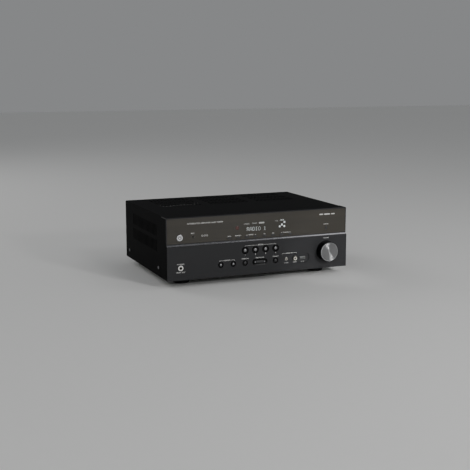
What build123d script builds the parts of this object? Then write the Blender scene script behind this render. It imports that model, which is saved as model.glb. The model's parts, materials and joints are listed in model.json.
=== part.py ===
"""Full-width integrated receiver amplifier: sheet-steel case, moulded front with a tinted window,
turning volume control, push buttons, screw and clip speaker terminals, and the main internal units.

Frame: millimetres, +Z up, +X to the right of someone facing the front, the front looking along -Y.
The origin is on the surface that the feet stand on, at the centre of the whole object's plan.
"""

import os

from build123d import *

os.makedirs("parts", exist_ok=True)

# ---- driving dimensions -------------------------------------------------------------------------
WIDTH = 435.0  # case and front, the usual full-width audio size
HEIGHT = 152.4  # with the feet
FOOT_HEIGHT = 16.0
FRONT_Y = -155.0  # face of the lower front
REAR_Y = 155.0  # outer face of the rear panel
FRONT_DEPTH = 36.0  # how far the front moulding wraps back along the sides
SHEET = 1.0  # steel of the case
WALL = 2.6  # walls of the front moulding
STEP_BACK = 5.0  # the window stands this far behind the lower front
BEVEL_LOW = 74.3 + FOOT_HEIGHT  # where the bright bevel starts and ends
BEVEL_HIGH = 79.3 + FOOT_HEIGHT
PUSH_TRAVEL = 1.0
KEY_CLEARANCE = 0.35  # round each button and key

WINDOW_Y = FRONT_Y + STEP_BACK
WINDOW_THICK = 3.0
MOULDING_BACK = FRONT_Y + FRONT_DEPTH
BOARD_FRONT = -135.0  # front face of the front board
BOARD_THICK = 1.6
SWITCH_TIP = -140.2  # rest position of each tact switch's plunger
STEM_END = SWITCH_TIP - PUSH_TRAVEL - 0.2  # a button's stem ends here at rest
FLOOR_TOP = FOOT_HEIGHT + SHEET

LOW_ROW = 27.3 + FOOT_HEIGHT  # heights of the rows of controls
HIGH_ROW = 55.3 + FOOT_HEIGHT
KEY_ROW = 84.0 + FOOT_HEIGHT
UPPER_ROW = 92.6 + FOOT_HEIGHT

KNOB_X, KNOB_Z = 164.0, 40.0 + FOOT_HEIGHT
KNOB_RADIUS, KNOB_REACH = 22.4, 18.0

SMALL_BUTTON, LARGE_BUTTON = 4.9, 6.5  # radii of the round buttons
SMALL_DISH, LARGE_DISH = 6.5, 8.2  # radii of the hollows they stand in
DISH_DEPTH = 1.2
POWER_RADIUS = 7.0

DISPLAY_Z = 105.5 + FOOT_HEIGHT  # middle of the display tube
POWER_X = -187.0

AUX_X, AUX_Z = 88.0, 28.0 + FOOT_HEIGHT  # the hollow round the front sockets
AUX_LENGTH, AUX_HEIGHT = 68.0, 22.0
PHONES_X, MIC_X, AUX_AUDIO_X, AUX_VIDEO_X, FLAT_X = -187.0, -156.0, 65.0, 86.0, 105.5

ROUND_BUTTONS = {  # name: (x, height, button radius, hollow radius)
    "mode_button_1": (-36.5, HIGH_ROW, LARGE_BUTTON, LARGE_DISH),
    "mode_button_2": (-11.9, HIGH_ROW, LARGE_BUTTON, LARGE_DISH),
    "mode_button_3": (12.8, HIGH_ROW, LARGE_BUTTON, LARGE_DISH),
    "mode_button_4": (37.4, HIGH_ROW, LARGE_BUTTON, LARGE_DISH),
    "input_button_down": (-94.3, LOW_ROW, SMALL_BUTTON, SMALL_DISH),
    "input_button_up": (-64.8, LOW_ROW, SMALL_BUTTON, SMALL_DISH),
    "tone_button": (-36.5, LOW_ROW, SMALL_BUTTON, SMALL_DISH),
    "straight_button": (37.4, LOW_ROW, SMALL_BUTTON, SMALL_DISH),
}
ROCKER_X, ROCKER_LENGTH, ROCKER_HEIGHT = -1.0, 32.0, 9.0
ROCKER_STEM = 10.0  # each stem's distance from the pivot
PIVOT_Y = FRONT_Y + 5.6  # the rocker's pivot
KEY_WIDTH, KEY_HEIGHT = 8.0, 3.2
WINDOW_KEYS = {  # name: x
    "info_key": -72.0,
    "memory_key": -51.3,
    "preset_down_key": -30.5,
    "preset_up_key": -10.0,
    "fm_key": 12.2,
    "am_key": 33.2,
    "tuning_down_key": 54.0,
    "tuning_up_key": 75.2,
}
DIRECT_X, DIRECT_WIDTH, DIRECT_HEIGHT = 166.4, 4.6, 7.6

POST_X, POST_Z = (-152.0, -130.0), (52.0 + FOOT_HEIGHT, 74.0 + FOOT_HEIGHT)
POST_RADIUS, POST_REACH, STUD_RADIUS = 7.6, 18.0, 3.0
CLIP_X = [-98.0 + 13.0 * i for i in range(6)]
CLIP_Z = 60.0 + FOOT_HEIGHT
PORT_X = [4.0 + 25.0 * i for i in range(5)]
PORT_Z = 112.0 + FOOT_HEIGHT
PHONO_X = [30.0 + 15.0 * i for i in range(6)]
PHONO_Z = (36.0 + FOOT_HEIGHT, 51.0 + FOOT_HEIGHT)
PHONO_BARREL, PHONO_HOLE, PHONO_REACH = 4.15, 1.65, 8.5
INLET_X, INLET_Z = -186.0, 32.0 + FOOT_HEIGHT
TUNER_X, TUNER_Z = 186.0, 104.0 + FOOT_HEIGHT

SCREW_Y, SCREW_Z = (-96.0, 126.0), 20.0 + FOOT_HEIGHT  # screws through each side of the case
FOOT_PLACES = [(x, y) for x in (-165.0, 165.0) for y in (-95.0, 112.0)]

front_plane = Plane.XZ.offset(-FRONT_Y)
window_plane = Plane.XZ.offset(-WINDOW_Y)
rear_plane = Plane.XZ.offset(-REAR_Y)


def facing(y):
    """The plane at this y that looks to the front, so a negative extrusion runs to the back."""
    return Plane.XZ.offset(-y)


def finish(part, label):
    """Labels a finished piece and writes it under that name."""
    part.label = label
    export_step(part, f"parts/{label}.step")
    print(label, "solids", len(part.solids()), "volume", round(part.volume))


# ---- front moulding -----------------------------------------------------------------------------
# One moulding: the thick lower face, the bright bevel, the frame behind the window, and the walls
# that wrap back to meet the steel case.
with BuildPart() as front_moulding:
    with BuildSketch(Plane.YZ.offset(-WIDTH / 2)):
        with BuildLine():
            Polyline(
                (MOULDING_BACK, FOOT_HEIGHT),
                (FRONT_Y + 1.2, FOOT_HEIGHT),
                (FRONT_Y, FOOT_HEIGHT + 1.2),
                (FRONT_Y, BEVEL_LOW),
                (WINDOW_Y, BEVEL_HIGH),
                (WINDOW_Y, HEIGHT - 1.5),
                (WINDOW_Y + 1.5, HEIGHT),
                (MOULDING_BACK, HEIGHT),
                close=True,
            )
        make_face()
    extrude(amount=WIDTH)
    upright_edges = front_moulding.edges().filter_by(Axis.Z).group_by(Axis.Y)[0]
    fillet(upright_edges, 0.8)
    # the hollow behind the lower face
    with BuildSketch(facing(FRONT_Y + 3.0)):
        with Locations((0, (FOOT_HEIGHT + WALL + BEVEL_LOW - 1.0) / 2)):
            Rectangle(WIDTH - 2 * WALL, BEVEL_LOW - 1.0 - FOOT_HEIGHT - WALL)
    extrude(amount=-FRONT_DEPTH, mode=Mode.SUBTRACT)
    # the hollow behind the window frame
    with BuildSketch(facing(WINDOW_Y + WINDOW_THICK + 2.4)):
        with Locations((0, (BEVEL_LOW - 2.0 + HEIGHT - WALL) / 2)):
            Rectangle(WIDTH - 2 * WALL, HEIGHT - WALL - BEVEL_LOW + 2.0)
    extrude(amount=-FRONT_DEPTH, mode=Mode.SUBTRACT)
    # the seat of the window
    with BuildSketch(window_plane):
        with Locations((0, (BEVEL_HIGH + HEIGHT - 1.9) / 2)):
            Rectangle(WIDTH - 3.6, HEIGHT - 1.9 - BEVEL_HIGH)
    extrude(amount=-WINDOW_THICK, mode=Mode.SUBTRACT)
    # openings in the frame behind the window: the display, the power button, the microphone
    # socket, the row of keys, the remote eye and the direct button
    with BuildSketch(facing(WINDOW_Y + WINDOW_THICK)):
        with Locations((0, DISPLAY_Z)):
            Rectangle(190.0, 29.0)
        with Locations((1.6, KEY_ROW)):
            Rectangle(166.0, 6.0)
        with Locations((POWER_X, UPPER_ROW)):
            Circle(POWER_RADIUS + 1.2)
        with Locations((MIC_X, UPPER_ROW)):
            Circle(4.6)
        with Locations((DIRECT_X, UPPER_ROW)):
            Rectangle(8.0, 11.0)
    extrude(amount=-WALL * 2, mode=Mode.SUBTRACT)
    # hollows and holes of the round buttons
    for x, z, radius, dish in ROUND_BUTTONS.values():
        with BuildSketch(front_plane):
            with Locations((x, z)):
                Circle(dish)
        extrude(amount=-DISH_DEPTH, mode=Mode.SUBTRACT)
        with BuildSketch(front_plane):
            with Locations((x, z)):
                Circle(radius + KEY_CLEARANCE)
        extrude(amount=-6.0, mode=Mode.SUBTRACT)
    # the rocker's hollow and hole
    with BuildSketch(front_plane):
        with Locations((ROCKER_X, LOW_ROW)):
            SlotOverall(ROCKER_LENGTH + 4.4, ROCKER_HEIGHT + 4.4)
    extrude(amount=-DISH_DEPTH, mode=Mode.SUBTRACT)
    with BuildSketch(front_plane):
        with Locations((ROCKER_X, LOW_ROW)):
            SlotOverall(ROCKER_LENGTH + 2.0, ROCKER_HEIGHT + 0.8)
    extrude(amount=-6.0, mode=Mode.SUBTRACT)
    # two lugs behind the face that hold the rocker's pins
    for low in (LOW_ROW + 5.3, LOW_ROW - 7.3):
        with BuildSketch(Plane.XY.offset(low)):
            with Locations((ROCKER_X, (FRONT_Y + 3.0 + PIVOT_Y + 2.6) / 2)):
                Rectangle(6.0, PIVOT_Y + 2.6 - FRONT_Y - 3.0 + 0.02)
            with Locations((ROCKER_X, PIVOT_Y)):
                Circle(1.25, mode=Mode.SUBTRACT)
        extrude(amount=2.0)
    # the hollow round the front sockets, and their holes
    with BuildSketch(front_plane):
        with Locations((AUX_X, AUX_Z)):
            SlotOverall(AUX_LENGTH, AUX_HEIGHT)
    extrude(amount=-1.5, mode=Mode.SUBTRACT)
    with BuildSketch(front_plane):
        with Locations((AUX_AUDIO_X, AUX_Z)):
            Circle(3.9)
        with Locations((AUX_VIDEO_X, AUX_Z)):
            Circle(6.4)
        with Locations((FLAT_X, AUX_Z)):
            Rectangle(14.2, 7.0)
        with Locations((PHONES_X, LOW_ROW)):
            Circle(6.2)
    extrude(amount=-6.0, mode=Mode.SUBTRACT)
    # the volume control's hollow and hole
    with BuildSketch(front_plane):
        with Locations((KNOB_X, KNOB_Z)):
            Circle(KNOB_RADIUS + 1.2)
    extrude(amount=-1.6, mode=Mode.SUBTRACT)
    with BuildSketch(front_plane):
        with Locations((KNOB_X, KNOB_Z)):
            Circle(5.0)
    extrude(amount=-6.0, mode=Mode.SUBTRACT)
finish(front_moulding.part, "front_moulding")

# ---- display window: a tinted acrylic sheet ------------------------------------------------------
WINDOW_LOW, WINDOW_HIGH = BEVEL_HIGH + 0.15, HEIGHT - 2.05
with BuildPart() as display_window:
    with BuildSketch(window_plane):
        with Locations((0, (WINDOW_LOW + WINDOW_HIGH) / 2)):
            Rectangle(WIDTH - 3.9, WINDOW_HIGH - WINDOW_LOW)
        with Locations((POWER_X, UPPER_ROW)):
            Circle(POWER_RADIUS + KEY_CLEARANCE, mode=Mode.SUBTRACT)
        with Locations((MIC_X, UPPER_ROW)):
            Circle(3.3, mode=Mode.SUBTRACT)
        with Locations((DIRECT_X, UPPER_ROW)):
            RectangleRounded(DIRECT_WIDTH + 0.7, DIRECT_HEIGHT + 0.7, 1.0, mode=Mode.SUBTRACT)
        for x in WINDOW_KEYS.values():
            with Locations((x, KEY_ROW)):
                RectangleRounded(KEY_WIDTH + 0.7, KEY_HEIGHT + 0.7, 0.9, mode=Mode.SUBTRACT)
    extrude(amount=-WINDOW_THICK)
finish(display_window.part, "display_window")

# ---- steel case -----------------------------------------------------------------------------------
# The cover: one sheet bent over the top and both sides, with slots to let the heat out.
COVER_FRONT = MOULDING_BACK + 0.2
with BuildPart() as top_cover:
    with BuildSketch(facing(COVER_FRONT)):
        with Locations((0, (FLOOR_TOP + HEIGHT) / 2)):
            Rectangle(WIDTH, HEIGHT - FLOOR_TOP)
    extrude(amount=-(REAR_Y - COVER_FRONT))
    long_edges = top_cover.edges().filter_by(Axis.Y).group_by(Axis.Z)[-1]
    fillet(long_edges, 2.5)
    with BuildSketch(facing(COVER_FRONT)):
        with Locations((0, (FLOOR_TOP - 2.0 + HEIGHT - SHEET) / 2)):
            Rectangle(WIDTH - 2 * SHEET, HEIGHT - SHEET - FLOOR_TOP + 2.0)
    extrude(amount=-(REAR_Y - COVER_FRONT), mode=Mode.SUBTRACT)
    with BuildSketch(Plane.XY.offset(HEIGHT)):
        for centre_x in (-120.0, 0.0, 120.0):
            with Locations((centre_x, 75.0)):
                with GridLocations(9.0, 40.0, 11, 3):
                    SlotOverall(32.0, 3.0, rotation=90)
    extrude(amount=-3.0, mode=Mode.SUBTRACT)
    with BuildSketch(Plane.YZ.offset(-WIDTH / 2 - 1)):
        with Locations((4.0, 84.0 + FOOT_HEIGHT)):
            with GridLocations(9.0, 34.0, 20, 2):
                SlotOverall(26.0, 3.0, rotation=90)
    extrude(amount=WIDTH + 2, mode=Mode.SUBTRACT)
    # screw holes: two in each side
    for y in SCREW_Y:
        with BuildSketch(Plane.YZ.offset(-WIDTH / 2 - 1)):
            with Locations((y, SCREW_Z)):
                Circle(2.1)
        extrude(amount=WIDTH + 2, mode=Mode.SUBTRACT)
finish(top_cover.part, "top_cover")

# The base pan: a floor with vents, a front upstand, and lips along the sides and the back.
PAN_X = WIDTH / 2 - SHEET - 0.3
PAN_FRONT, PAN_BACK = MOULDING_BACK + 0.3, REAR_Y - SHEET - 0.1
with BuildPart() as chassis_base:
    with BuildSketch(Plane.XY.offset(FOOT_HEIGHT)):
        with Locations((0, (PAN_FRONT + PAN_BACK) / 2)):
            Rectangle(2 * PAN_X, PAN_BACK - PAN_FRONT)
    extrude(amount=SHEET)
    with BuildSketch(Plane.XY.offset(FLOOR_TOP)):
        for side in (-1, 1):
            with Locations((side * (PAN_X - SHEET / 2), (PAN_FRONT + PAN_BACK) / 2)):
                Rectangle(SHEET, PAN_BACK - PAN_FRONT)
    extrude(amount=22.0)
    with BuildSketch(Plane.XY.offset(FLOOR_TOP)):
        with Locations((0, PAN_FRONT + SHEET / 2)):
            Rectangle(2 * PAN_X, SHEET)
    extrude(amount=40.0)
    with BuildSketch(Plane.XY.offset(FOOT_HEIGHT)):
        with Locations((40.0, 5.0)):
            with GridLocations(9.0, 40.0, 14, 2):
                SlotOverall(30.0, 3.0, rotation=90)
        with Locations((-120.0, 60.0)):
            with GridLocations(9.0, 40.0, 8, 1):
                SlotOverall(30.0, 3.0, rotation=90)
    extrude(amount=SHEET, mode=Mode.SUBTRACT)
    for y in SCREW_Y:
        with BuildSketch(Plane.YZ.offset(-WIDTH / 2)):
            with Locations((y, SCREW_Z)):
                Circle(1.6)
        extrude(amount=WIDTH, mode=Mode.SUBTRACT)
    # the feet's screw holes
    with BuildSketch(Plane.XY.offset(FOOT_HEIGHT)):
        with Locations(*FOOT_PLACES):
            Circle(1.8)
    extrude(amount=SHEET, mode=Mode.SUBTRACT)
finish(chassis_base.part, "chassis_base")

# The rear panel, cut for every socket.
REAR_TOP = HEIGHT - SHEET - 0.3
with BuildPart() as rear_panel:
    with BuildSketch(rear_plane):
        with Locations((0, (FLOOR_TOP + 0.1 + REAR_TOP) / 2)):
            Rectangle(2 * PAN_X, REAR_TOP - FLOOR_TOP - 0.1)
        for x in POST_X:
            for z in POST_Z:
                with Locations((x, z)):
                    Circle(6.4, mode=Mode.SUBTRACT)
        with Locations((sum(CLIP_X) / 6, CLIP_Z)):
            Rectangle(82.0, 30.0, mode=Mode.SUBTRACT)
        for x in PORT_X:
            with Locations((x, PORT_Z)):
                Rectangle(16.2, 7.2, mode=Mode.SUBTRACT)
        for x in PHONO_X:
            for z in PHONO_Z:
                with Locations((x, z)):
                    Circle(5.4, mode=Mode.SUBTRACT)
        with Locations((INLET_X, INLET_Z)):
            Rectangle(28.0, 21.0, mode=Mode.SUBTRACT)
        with Locations((TUNER_X, TUNER_Z)):
            Circle(6.2, mode=Mode.SUBTRACT)
        with Locations((-90.0, 112.0 + FOOT_HEIGHT)):
            with GridLocations(9.0, 12.0, 14, 2):
                SlotOverall(10.0, 3.0, rotation=90, mode=Mode.SUBTRACT)
    extrude(amount=SHEET)
finish(rear_panel.part, "rear_panel")

# ---- feet: moulded rings with a soft pad face, screwed to the pan --------------------------------
with BuildPart() as feet:
    for place in FOOT_PLACES:
        with BuildSketch(Plane.XY):
            with Locations(place):
                Circle(20.0)
        extrude(amount=FOOT_HEIGHT, taper=-6.0)
        with BuildSketch(Plane.XY):
            with Locations(place):
                Circle(7.0)
        extrude(amount=FOOT_HEIGHT - 3.0, mode=Mode.SUBTRACT)
    chamfer(feet.edges().group_by(Axis.Z)[0], 0.8)
finish(feet.part, "feet")

# ---- screws: the case's pan-head screws, and the feet's ------------------------------------------
with BuildPart() as case_screws:
    for side in (-1, 1):
        for y in SCREW_Y:
            head = Plane(origin=(side * WIDTH / 2, y, SCREW_Z), x_dir=(0, 1, 0), z_dir=(side, 0, 0))
            with BuildSketch(head):
                Circle(3.6)
            extrude(amount=1.8, taper=18)
            with BuildSketch(head):
                Circle(1.4)
            extrude(amount=-8.0)
            with BuildSketch(head.offset(1.8)):
                Rectangle(3.2, 0.7)
                Rectangle(0.7, 3.2)
            extrude(amount=-1.0, mode=Mode.SUBTRACT)
finish(case_screws.part, "case_screws")

# ---- push buttons ---------------------------------------------------------------------------------
# Each cap has a collar behind the face that keeps it in, and a stem that reaches its switch.
for name, (x, z, radius, dish) in ROUND_BUTTONS.items():
    with BuildPart() as button:
        with BuildSketch(facing(FRONT_Y - 0.7)):
            with Locations((x, z)):
                Circle(radius)
        extrude(amount=-(FRONT_Y + 3.4 - (FRONT_Y - 0.7)))
        front_edge = button.edges().group_by(Axis.Y)[0]
        fillet(front_edge, 0.5)
        with BuildSketch(facing(FRONT_Y + 3.4)):
            with Locations((x, z)):
                Circle(radius + 1.3)
        extrude(amount=-1.0)
        with BuildSketch(facing(FRONT_Y + 4.4)):
            with Locations((x, z)):
                Circle(2.0)
        extrude(amount=-(STEM_END - FRONT_Y - 4.4))
    finish(button.part, name)

with BuildPart() as power_button:
    with BuildSketch(facing(WINDOW_Y - 1.2)):
        with Locations((POWER_X, UPPER_ROW)):
            Circle(POWER_RADIUS)
    extrude(amount=-(WINDOW_THICK + 1.6))
    front_edge = power_button.edges().group_by(Axis.Y)[0]
    fillet(front_edge, 0.8)
    with BuildSketch(facing(WINDOW_Y + WINDOW_THICK + 0.4)):
        with Locations((POWER_X, UPPER_ROW)):
            Circle(POWER_RADIUS + 0.8)
    extrude(amount=-1.0)
    with BuildSketch(facing(WINDOW_Y + WINDOW_THICK + 1.4)):
        with Locations((POWER_X, UPPER_ROW)):
            Circle(2.4)
    extrude(amount=-(STEM_END - WINDOW_Y - WINDOW_THICK - 1.4))
finish(power_button.part, "power_button")

with BuildPart() as direct_button:
    with BuildSketch(facing(WINDOW_Y - 0.6)):
        with Locations((DIRECT_X, UPPER_ROW)):
            RectangleRounded(DIRECT_WIDTH, DIRECT_HEIGHT, 0.8)
    extrude(amount=-(WINDOW_THICK + 1.0))
    with BuildSketch(facing(WINDOW_Y + WINDOW_THICK + 0.4)):
        with Locations((DIRECT_X, UPPER_ROW)):
            Rectangle(DIRECT_WIDTH + 2.4, DIRECT_HEIGHT + 2.4)
    extrude(amount=-1.0)
    with BuildSketch(facing(WINDOW_Y + WINDOW_THICK + 1.4)):
        with Locations((DIRECT_X, UPPER_ROW)):
            Circle(1.8)
    extrude(amount=-(STEM_END - WINDOW_Y - WINDOW_THICK - 1.4))
finish(direct_button.part, "direct_button")

for name, x in WINDOW_KEYS.items():
    with BuildPart() as key:
        with BuildSketch(facing(WINDOW_Y - 0.6)):
            with Locations((x, KEY_ROW)):
                RectangleRounded(KEY_WIDTH, KEY_HEIGHT, 0.7)
        extrude(amount=-(WINDOW_THICK + 1.0))
        with BuildSketch(facing(WINDOW_Y + WINDOW_THICK + 0.4)):
            with Locations((x, KEY_ROW)):
                Rectangle(KEY_WIDTH + 2.0, KEY_HEIGHT + 1.8)
        extrude(amount=-1.0)
        with BuildSketch(facing(WINDOW_Y + WINDOW_THICK + 1.4)):
            with Locations((x, KEY_ROW)):
                Rectangle(3.0, 2.4)
        extrude(amount=-(STEM_END - WINDOW_Y - WINDOW_THICK - 1.4))
    finish(key.part, name)

# The program rocker: an obround cap on a central pivot, with a stem to a switch at each side.
with BuildPart() as program_rocker:
    with BuildSketch(facing(FRONT_Y - 0.6)):
        with Locations((ROCKER_X, LOW_ROW)):
            SlotOverall(ROCKER_LENGTH, ROCKER_HEIGHT)
    extrude(amount=-3.6)
    front_edge = program_rocker.edges().group_by(Axis.Y)[0]
    fillet(front_edge, 0.5)
    with BuildSketch(facing(FRONT_Y + 3.0)):
        with Locations((ROCKER_X, LOW_ROW)):
            Rectangle(ROCKER_LENGTH - 8.0, ROCKER_HEIGHT - 2.0)
    extrude(amount=-3.5)
    with BuildSketch(facing(FRONT_Y + 6.5)):
        with Locations((ROCKER_X - ROCKER_STEM, LOW_ROW), (ROCKER_X + ROCKER_STEM, LOW_ROW)):
            Circle(1.5)
    extrude(amount=-(STEM_END - FRONT_Y - 6.5))
    # the pivot's pins, one above and one below
    with BuildSketch(Plane.XY.offset(LOW_ROW - 7.0)):
        with Locations((ROCKER_X, PIVOT_Y)):
            Circle(1.2)
    extrude(amount=14.0)
finish(program_rocker.part, "program_rocker")

# ---- volume control: hollow body, aluminium face, shaft with a flat ------------------------------
KNOB_FRONT, KNOB_BACK = FRONT_Y - KNOB_REACH, FRONT_Y + 0.9
SHAFT_FRONT, SHAFT_BACK, SHAFT_RADIUS = KNOB_FRONT + 5.0, -138.8, 3.0
with BuildPart() as volume_knob:
    with BuildSketch(facing(KNOB_FRONT)):
        with Locations((KNOB_X, KNOB_Z)):
            Circle(KNOB_RADIUS)
    extrude(amount=-(KNOB_BACK - KNOB_FRONT))
    front_edge = volume_knob.edges().group_by(Axis.Y)[0]
    fillet(front_edge, 0.6)
    with BuildSketch(facing(KNOB_FRONT)):
        with Locations((KNOB_X, KNOB_Z)):
            Circle(KNOB_RADIUS - 0.9)
    extrude(amount=-1.5, mode=Mode.SUBTRACT)
    with BuildSketch(facing(KNOB_FRONT + 3.5)):
        with Locations((KNOB_X, KNOB_Z)):
            Circle(KNOB_RADIUS - 2.4)
            Circle(6.0, mode=Mode.SUBTRACT)
    extrude(amount=-30.0, mode=Mode.SUBTRACT)
    # the bore that fits the shaft and its flat
    with BuildSketch(facing(SHAFT_FRONT)):
        with Locations((KNOB_X, KNOB_Z)):
            Circle(SHAFT_RADIUS)
        with Locations((KNOB_X, KNOB_Z + SHAFT_RADIUS)):
            Rectangle(2 * SHAFT_RADIUS, 3.0, mode=Mode.SUBTRACT)
    extrude(amount=-30.0, mode=Mode.SUBTRACT)
finish(volume_knob.part, "volume_knob")

with BuildPart() as knob_face:
    with BuildSketch(facing(KNOB_FRONT)):
        with Locations((KNOB_X, KNOB_Z)):
            Circle(KNOB_RADIUS - 0.95)
    extrude(amount=-1.5)
    chamfer(knob_face.edges().group_by(Axis.Y)[0], 0.4)
finish(knob_face.part, "knob_face")

with BuildPart() as encoder_shaft:
    with BuildSketch(facing(SHAFT_FRONT)):
        with Locations((KNOB_X, KNOB_Z)):
            Circle(SHAFT_RADIUS)
        with Locations((KNOB_X, KNOB_Z + SHAFT_RADIUS)):
            Rectangle(2 * SHAFT_RADIUS, 3.0, mode=Mode.SUBTRACT)
    extrude(amount=-(KNOB_BACK - SHAFT_FRONT))
    with BuildSketch(facing(KNOB_BACK)):
        with Locations((KNOB_X, KNOB_Z)):
            Circle(SHAFT_RADIUS)
    extrude(amount=-(SHAFT_BACK - KNOB_BACK))
finish(encoder_shaft.part, "encoder_shaft")

ENCODER_FRONT, BUSH_FRONT = -142.0, -151.0
with BuildPart() as volume_encoder:
    with BuildSketch(facing(ENCODER_FRONT)):
        with Locations((KNOB_X, KNOB_Z)):
            RectangleRounded(14.0, 13.0, 1.0)
    extrude(amount=-(BOARD_FRONT - ENCODER_FRONT))
    with BuildSketch(facing(BUSH_FRONT)):
        with Locations((KNOB_X, KNOB_Z)):
            Circle(4.4)
    extrude(amount=-(ENCODER_FRONT - BUSH_FRONT))
    with BuildSketch(facing(BUSH_FRONT)):
        with Locations((KNOB_X, KNOB_Z)):
            Circle(SHAFT_RADIUS + 0.05)
    extrude(amount=-12.5, mode=Mode.SUBTRACT)
finish(volume_encoder.part, "volume_encoder")

# ---- front board, its switches and the display tube ----------------------------------------------
switch_places = [(x, z) for x, z, radius, dish in ROUND_BUTTONS.values()]
switch_places += [(x, KEY_ROW) for x in WINDOW_KEYS.values()]
switch_places += [(POWER_X, UPPER_ROW), (DIRECT_X, UPPER_ROW)]
switch_places += [(ROCKER_X - ROCKER_STEM, LOW_ROW), (ROCKER_X + ROCKER_STEM, LOW_ROW)]

with BuildPart() as front_board:
    with BuildSketch(facing(BOARD_FRONT)):
        with Locations((0, 80.0)):
            Rectangle(412.0, 116.0)
        with Locations((PHONES_X, LOW_ROW)):
            Rectangle(19.0, 19.0, mode=Mode.SUBTRACT)
    extrude(amount=-BOARD_THICK)
finish(front_board.part, "front_board")

SWITCH_BODY = 3.6
with BuildPart() as tact_switches:
    with BuildSketch(facing(BOARD_FRONT)):
        with Locations(*switch_places):
            Rectangle(6.0, 6.0)
    extrude(amount=SWITCH_BODY)
    with BuildSketch(facing(BOARD_FRONT - SWITCH_BODY)):
        with Locations(*switch_places):
            Circle(1.7)
    extrude(amount=BOARD_FRONT - SWITCH_BODY - SWITCH_TIP)
finish(tact_switches.part, "tact_switches")

TUBE_FRONT, TUBE_THICK = -146.6, 7.0
with BuildPart() as display_tube:
    with BuildSketch(facing(TUBE_FRONT)):
        with Locations((0, DISPLAY_Z)):
            Rectangle(176.0, 25.0)
    extrude(amount=-TUBE_THICK)
    with BuildSketch(facing(TUBE_FRONT + TUBE_THICK)):
        with Locations((0, DISPLAY_Z + 11.0)):
            with GridLocations(6.0, 1.0, 26, 1):
                Rectangle(0.8, 0.8)
    extrude(amount=-(BOARD_FRONT - TUBE_FRONT - TUBE_THICK))
finish(display_tube.part, "display_tube")

# ---- front sockets ----------------------------------------------------------------------------------
with BuildPart() as headphone_jack:
    with BuildSketch(facing(FRONT_Y - 0.6)):
        with Locations((PHONES_X, LOW_ROW)):
            Circle(5.9)
    extrude(amount=-4.0)
    chamfer(headphone_jack.edges().group_by(Axis.Y)[0], 0.5)
    with BuildSketch(facing(FRONT_Y + 3.4)):
        with Locations((PHONES_X, LOW_ROW)):
            Rectangle(17.0, 17.0)
    extrude(amount=-30.0)
    with BuildSketch(facing(FRONT_Y - 0.6)):
        with Locations((PHONES_X, LOW_ROW)):
            Circle(3.2)
    extrude(amount=-31.0, mode=Mode.SUBTRACT)
finish(headphone_jack.part, "headphone_jack")

with BuildPart() as minijack_sockets:
    for x, z, tip, shoulder in (
        (MIC_X, UPPER_ROW, WINDOW_Y - 0.2, -143.8),
        (AUX_AUDIO_X, AUX_Z, FRONT_Y + 1.2, -151.6),
    ):
        with BuildSketch(facing(tip)):
            with Locations((x, z)):
                Circle(2.95)
        extrude(amount=-(shoulder - tip))
        with BuildSketch(facing(shoulder)):
            with Locations((x, z)):
                Rectangle(11.0, 9.0)
        extrude(amount=-(BOARD_FRONT - shoulder))
        with BuildSketch(facing(tip)):
            with Locations((x, z)):
                Circle(1.8)
        extrude(amount=-13.5, mode=Mode.SUBTRACT)
finish(minijack_sockets.part, "minijack_sockets")

VIDEO_TIP = FRONT_Y - 1.5
with BuildPart() as video_socket:
    with BuildSketch(facing(FRONT_Y + 0.9)):
        with Locations((AUX_VIDEO_X, AUX_Z)):
            Circle(6.0)
    extrude(amount=-2.7)
    with BuildSketch(facing(FRONT_Y + 3.4)):
        with Locations((AUX_VIDEO_X, AUX_Z)):
            Rectangle(14.0, 14.0)
    extrude(amount=-(BOARD_FRONT - FRONT_Y - 3.4))
    with BuildSketch(facing(VIDEO_TIP)):
        with Locations((AUX_VIDEO_X, AUX_Z)):
            Circle(PHONO_BARREL)
    extrude(amount=-5.0)
    with BuildSketch(facing(VIDEO_TIP)):
        with Locations((AUX_VIDEO_X, AUX_Z)):
            Circle(PHONO_HOLE)
    extrude(amount=-15.0, mode=Mode.SUBTRACT)
finish(video_socket.part, "video_socket")

with BuildPart() as flat_socket:
    with BuildSketch(facing(FRONT_Y + 0.8)):
        with Locations((FLAT_X, AUX_Z)):
            Rectangle(13.2, 5.8)
    extrude(amount=-(BOARD_FRONT - FRONT_Y - 0.8))
    with BuildSketch(facing(FRONT_Y + 0.8)):
        with Locations((FLAT_X, AUX_Z)):
            Rectangle(12.4, 5.0)
        with Locations((FLAT_X, AUX_Z + 1.15)):
            Rectangle(11.4, 1.6, mode=Mode.SUBTRACT)
    extrude(amount=-12.0, mode=Mode.SUBTRACT)
finish(flat_socket.part, "flat_socket")

# ---- power transformer: laminated core round one bobbin ------------------------------------------
CORE_X, CORE_Y = -135.0, -40.0
CORE_WIDTH, CORE_STACK, CORE_TALL = 102.0, 54.0, 84.0
with BuildPart() as transformer_core:
    with BuildSketch(facing(CORE_Y - CORE_STACK / 2)):
        with Locations((CORE_X, FLOOR_TOP + CORE_TALL / 2)):
            Rectangle(CORE_WIDTH, CORE_TALL)
            with GridLocations(51.0, 1.0, 2, 1):
                Rectangle(17.0, 50.0, mode=Mode.SUBTRACT)
    extrude(amount=-CORE_STACK)
finish(transformer_core.part, "transformer_core")

with BuildPart() as transformer_coils:
    with BuildSketch(Plane.XY.offset(FLOOR_TOP + CORE_TALL / 2 - 24.0)):
        with Locations((CORE_X, CORE_Y)):
            RectangleRounded(66.0, 86.0, 6.0)
            Rectangle(34.6, CORE_STACK + 0.6, mode=Mode.SUBTRACT)
    extrude(amount=48.0)
finish(transformer_coils.part, "transformer_coils")

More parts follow.
